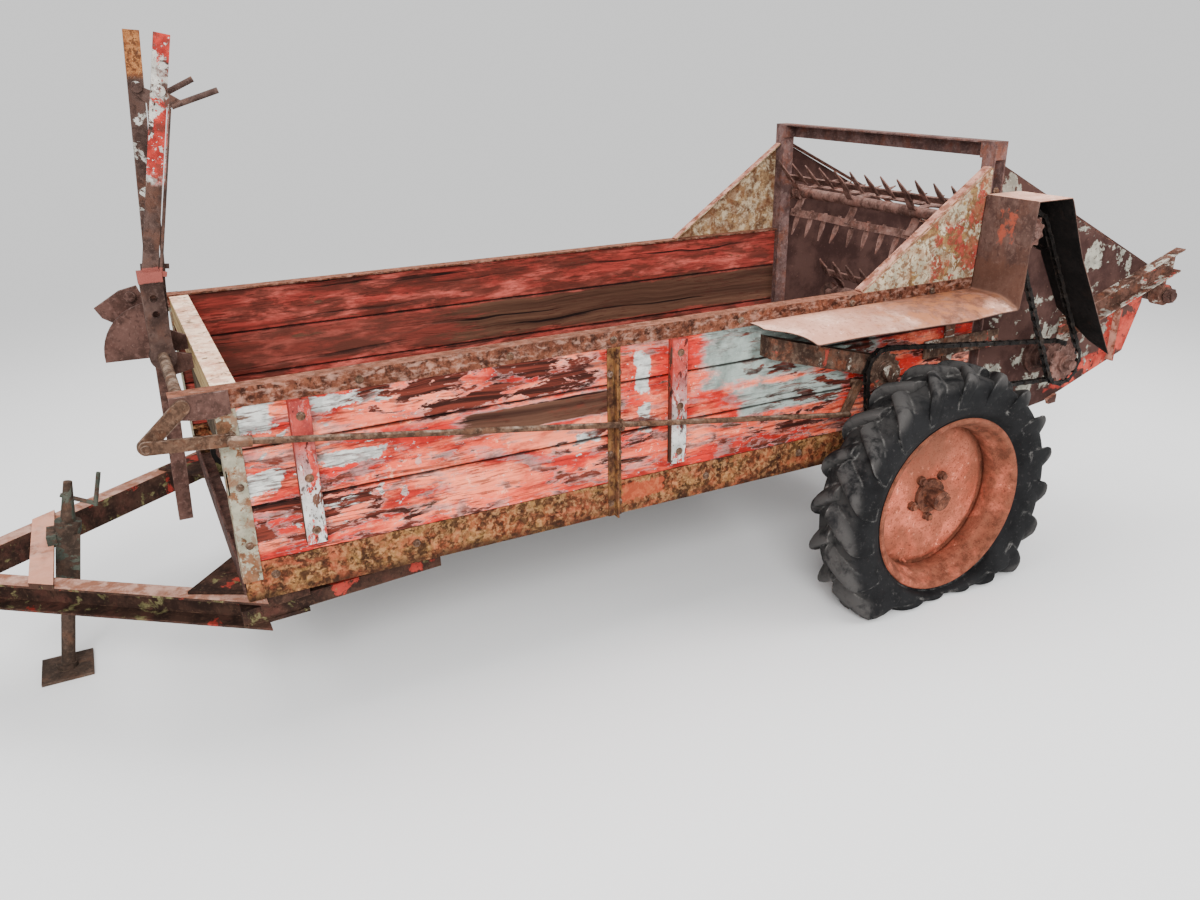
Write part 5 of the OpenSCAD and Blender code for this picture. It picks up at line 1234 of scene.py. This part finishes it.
def make_upper_beater():
    """Slender tube between two collars, bent straps, flat bars and their pointed leaves, each leaf
    a little out of line: its width swells to the waist and falls off to the tip."""
    rng = np.random.default_rng(8)
    end, chain = BEATER_HALF, BEATER_CHAIN_Y
    parts = [turned_on_axis([(-end, 17.5), (-end + 1, 30), (-end + 40, 30), (-end + 42, 20), (0, 19.5),
                             (end - 132, 20), (end - 130, 28), (end - 60, 28), (end - 58, 20),
                             (end - 1, 20), (end, 17.5)]),
             turned_on_axis([(-HALF_W - 40, 16), (-HALF_W - 38, 17), (chain + 22, 17), (chain + 24, 16)])]
    u, rise = np.linspace(0, 1, 8), np.array(LEAF_RISE)
    lean, radius = 38 * (1 - u) ** 1.6, 14 + (UPPER_BAR + 4 - 14) * u
    for k in range(BARS):
        place = beater_place(360 / BARS * k)
        parts.append(worn_plate(UPPER_BAR - 14, UPPER_BAR + 14, end, place))
        ahead, out = radius * np.sin(np.radians(lean)) - 5, radius * np.cos(np.radians(lean))
        for share in STRAPS:
            line = np.stack([share * end + 0 * u, out, ahead], axis=-1)
            parts.append(flat_strip(line, 34 + 0 * u, 6, place))
        pitch = 2 * (end - 40) / (LEAVES - 1)
        for i in range(LEAVES):
            shift, bow = rng.normal(0, 2.5), rng.normal(0, 3.5)
            along = -end + 40 + i * pitch + 12 * k - 12 + shift * rise
            aside = 5.2 + bow * rise ** 2 + 2 * np.sin(3 * rise)
            line = np.stack([along, LEAF_ROOT + (UPPER_TIP - LEAF_ROOT) * rise, aside], axis=-1)
            parts.append(flat_strip(line, LEAF_WIDTH, 4.5, place))
    tip = pitch_r(UPPER_TEETH) * math.cos(math.pi / UPPER_TEETH) - 7.4
    root = tip - 9
    g = 2 * np.pi * (np.arange(UPPER_TEETH)[:, None] + np.array(TOOTH)).ravel() / UPPER_TEETH
    r = np.tile([root, root + 5, tip, tip, root + 5, root], UPPER_TEETH)
    wheel = np.stack([UPPER_S + r * np.cos(g), UPPER_H + r * np.sin(g)], axis=-1)
    parts.append(prism(wheel, chain - 3.6, chain + 3.6))
    parts.append(turned_on_axis([(chain - 14, 17.5), (chain - 14, 28), (chain + 14, 28), (chain + 14, 17.5)]))
    piece("upper_beater_leaves", *joined(parts), "beaters", "upper_beater", "rusty_steel",
          ["upper_beater"], 35)


# Bolts

def bolt(s, y, h, axis, sign, r=9.0, high=8.0, turn=0.0):
    """A washer of twelve sides under a six-sided head with a chamfered top, on a face that looks
    along one axis: 0 back, 1 left and 2 up, or the other way for a sign of -1."""
    others = [k for k in range(3) if k != axis]
    made = []
    for sides, rows in ((12, [(0, 1.3), (0.22, 1.3)]), (6, [(0.2, 1.0), (0.82, 1.0), (1.0, 0.84)])):
        g = turn + np.linspace(0, 2 * np.pi, sides, endpoint=False)[None, :]
        rows = np.array(rows)
        shape = np.zeros((len(rows), sides, 3))
        shape[..., axis] = sign * rows[:, :1] * high
        shape[..., others[0]] = rows[:, 1:] * r * np.cos(g)
        shape[..., others[1]] = rows[:, 1:] * r * np.sin(g)
        made.append(tube(world(s + shape[..., 0], y + shape[..., 1], h + shape[..., 2])))
    return made


# where the engaging rod passes the tee post
RING_PLACE = (sum(TEE_S) / 2, HALF_W + 44, 286.7)


def ring(s, y, h, r, thick, turns=20, around=8):
    """A round loop of wire whose hole looks along the machine."""
    g = np.linspace(0, 2 * np.pi, turns, endpoint=False)[:, None]
    k = np.linspace(0, 2 * np.pi, around, endpoint=False)[None, :]
    out = r + thick * np.cos(k)
    return hoop(world(s + thick * np.sin(k) + 0 * g, y + out * np.cos(g), h + out * np.sin(g)))


def make_bolts():
    """Bolt heads of both sides: rails, battens, posts, corner angles, sills and wings."""
    side_face = HALF_W + STEEL_T
    places = [(s, side_face, RAIL_H - 24, 8.0, 6.0) for s in (320, 700, 994, 1400, 1800, 2120)]
    places += [(s + BATTEN_WIDE / 2, HALF_W + BATTEN_T, h, 8.5, 5.0)
               for s in BATTENS_S for h in (165, 300, 455)]
    places += [(s, side_face, h, 7.0, 6.0) for s in (TEE_S[0] + 7, TEE_S[1] - 7) for h in (40, 190, 420)]
    places += [(22, side_face, h, 7.5, 6.0) for h in (150, 300, 430)]
    places += [(s, HALF_W, h, 8.5, 7.0) for s, h in ((70, 60), (420, 55), (1300, 55), (1640, 60))]
    places += [(ARCH_S, HALF_W + 2, h, 8.0, 7.0) for h in (560, 700, 800)]
    rng = np.random.default_rng(3)
    turns = rng.random(len(places)) * 6.0
    for side, sign in SIDES.items():
        heads = []
        for (s, y, h, r, high), turn in zip(places, turns):
            heads += bolt(s, y, h, 1, 1, r, high, turn)
        if sign > 0:
            heads.append(ring(*RING_PLACE, r=14, thick=4))
        piece(f"bolts_{side}", *joined(on_side(sign, heads)), "bar", "frame", "rusty_steel")


# Carried-over pieces

DRESS = {
    "sills": ["sill_left", "sill_right"],
    "boards": ["floor_boards", "front_board"],
    "brown": ["cross_members", "axle_bearings", "axle", "beater_bearings", "tail_shaft",
              "apron_shafts", "feed_drive", "hitch_eye"],
    "beam": ["front_beam"],
    "rails": ["rail_left", "rail_right"],
    "arch": ["arch"],
    "wings": ["side_plate_left", "side_plate_right"],
    "tail": ["tail_rail_left", "tail_rail_right"],
    "drawbar": ["drawbar"],
    "jack": ["jack_body", "jack_leg"],
    "hub": ["hub_left", "hub_right"],
    "arm": ["idler_arm"],
    "grease": ["apron"],
    "stand": ["lever_stand"],
    "bar": ["cross_shaft", "engaging_rod"],
    "beaters": ["lower_beater"],
    "levers": ["hand_levers"],
}


def dress_nodes():
    """Gives every node that stays its finish, through its own material slots."""
    for key, names in DRESS.items():
        for name in names:
            node = frame["nodes"][name]
            if not node.material_slots:
                node.data.materials.append(FINISHES[key])
            for held in node.material_slots:
                held.material = FINISHES[key]


# Stage

FLOOR_REACH = 30.0
FLOOR_FADES = (2.0, 6.0)


def make_stage():
    """Pale floor that keeps the shadow near the machine and turns white far off, and soft lamps."""
    points = np.array([(-1, -1, 0), (1, -1, 0), (1, 1, 0), (-1, 1, 0)]) * FLOOR_REACH
    mesh = bpy.data.meshes.new("floor")
    mesh.from_pydata(points.tolist(), [], [(0, 1, 2, 3)])
    floor = bpy.data.objects.new("floor", mesh)
    scene.collection.objects.link(floor)
    material = bpy.data.materials.new("floor")
    material.use_nodes = True
    w = Wiring(material.node_tree)
    shader = material.node_tree.nodes["Principled BSDF"]
    shader.inputs["Base Color"].default_value = (0.8, 0.8, 0.8, 1)
    shader.inputs["Roughness"].default_value = 0.95
    here = w.node("TexCoord").outputs["Object"]
    far = w.step(w.length(here), *FLOOR_FADES)
    rays = w.node("LightPath").outputs
    white = w.node("Emission", {"Color": (1, 1, 1, 1), "Strength": 1.0}).outputs[0]
    faded = w.maths("MULTIPLY", far, rays["Is Camera Ray"])
    mixed = w.node("MixShader", {0: faded, 1: shader.outputs[0], 2: white})
    w.join(mixed.outputs[0], material.node_tree.nodes["Material Output"].inputs["Surface"])
    mesh.materials.append(material)
    world_data = bpy.data.worlds.new("studio")
    scene.world = world_data
    world_data.use_nodes = True
    w = Wiring(world_data.node_tree)
    rays = w.node("LightPath").outputs
    seen = w.most(rays["Is Camera Ray"], rays["Is Glossy Ray"], rays["Is Transmission Ray"])
    background = world_data.node_tree.nodes["Background"]
    background.inputs["Color"].default_value = (1, 1, 1, 1)
    w.join(w.numbers(seen, 0.8, 1.0), background.inputs["Strength"])
    lamp("key", (3.0, 6.2, 4.2), (-0.4, 0, 0.5), 4.0, 800)
    lamp("fill", (-5.5, 3.0, 4.0), (-0.8, 0, 0.5), 4.0, 260)
    lamp("top", (0.0, -1.0, 6.0), (-0.2, 0, 0.3), 5.0, 440)


photo_camera()
make_stage()
make_planks()
make_posts()
make_wheels()
make_guard()
make_chain("main_chain_links", MAIN_CIRCLES, CHAIN_Y, ["main_chain"])
make_chain("beater_chain_links", BEATER_CIRCLES, BEATER_CHAIN_Y, ["beater_chain"])
make_upper_beater()
make_bolts()
dress_nodes()
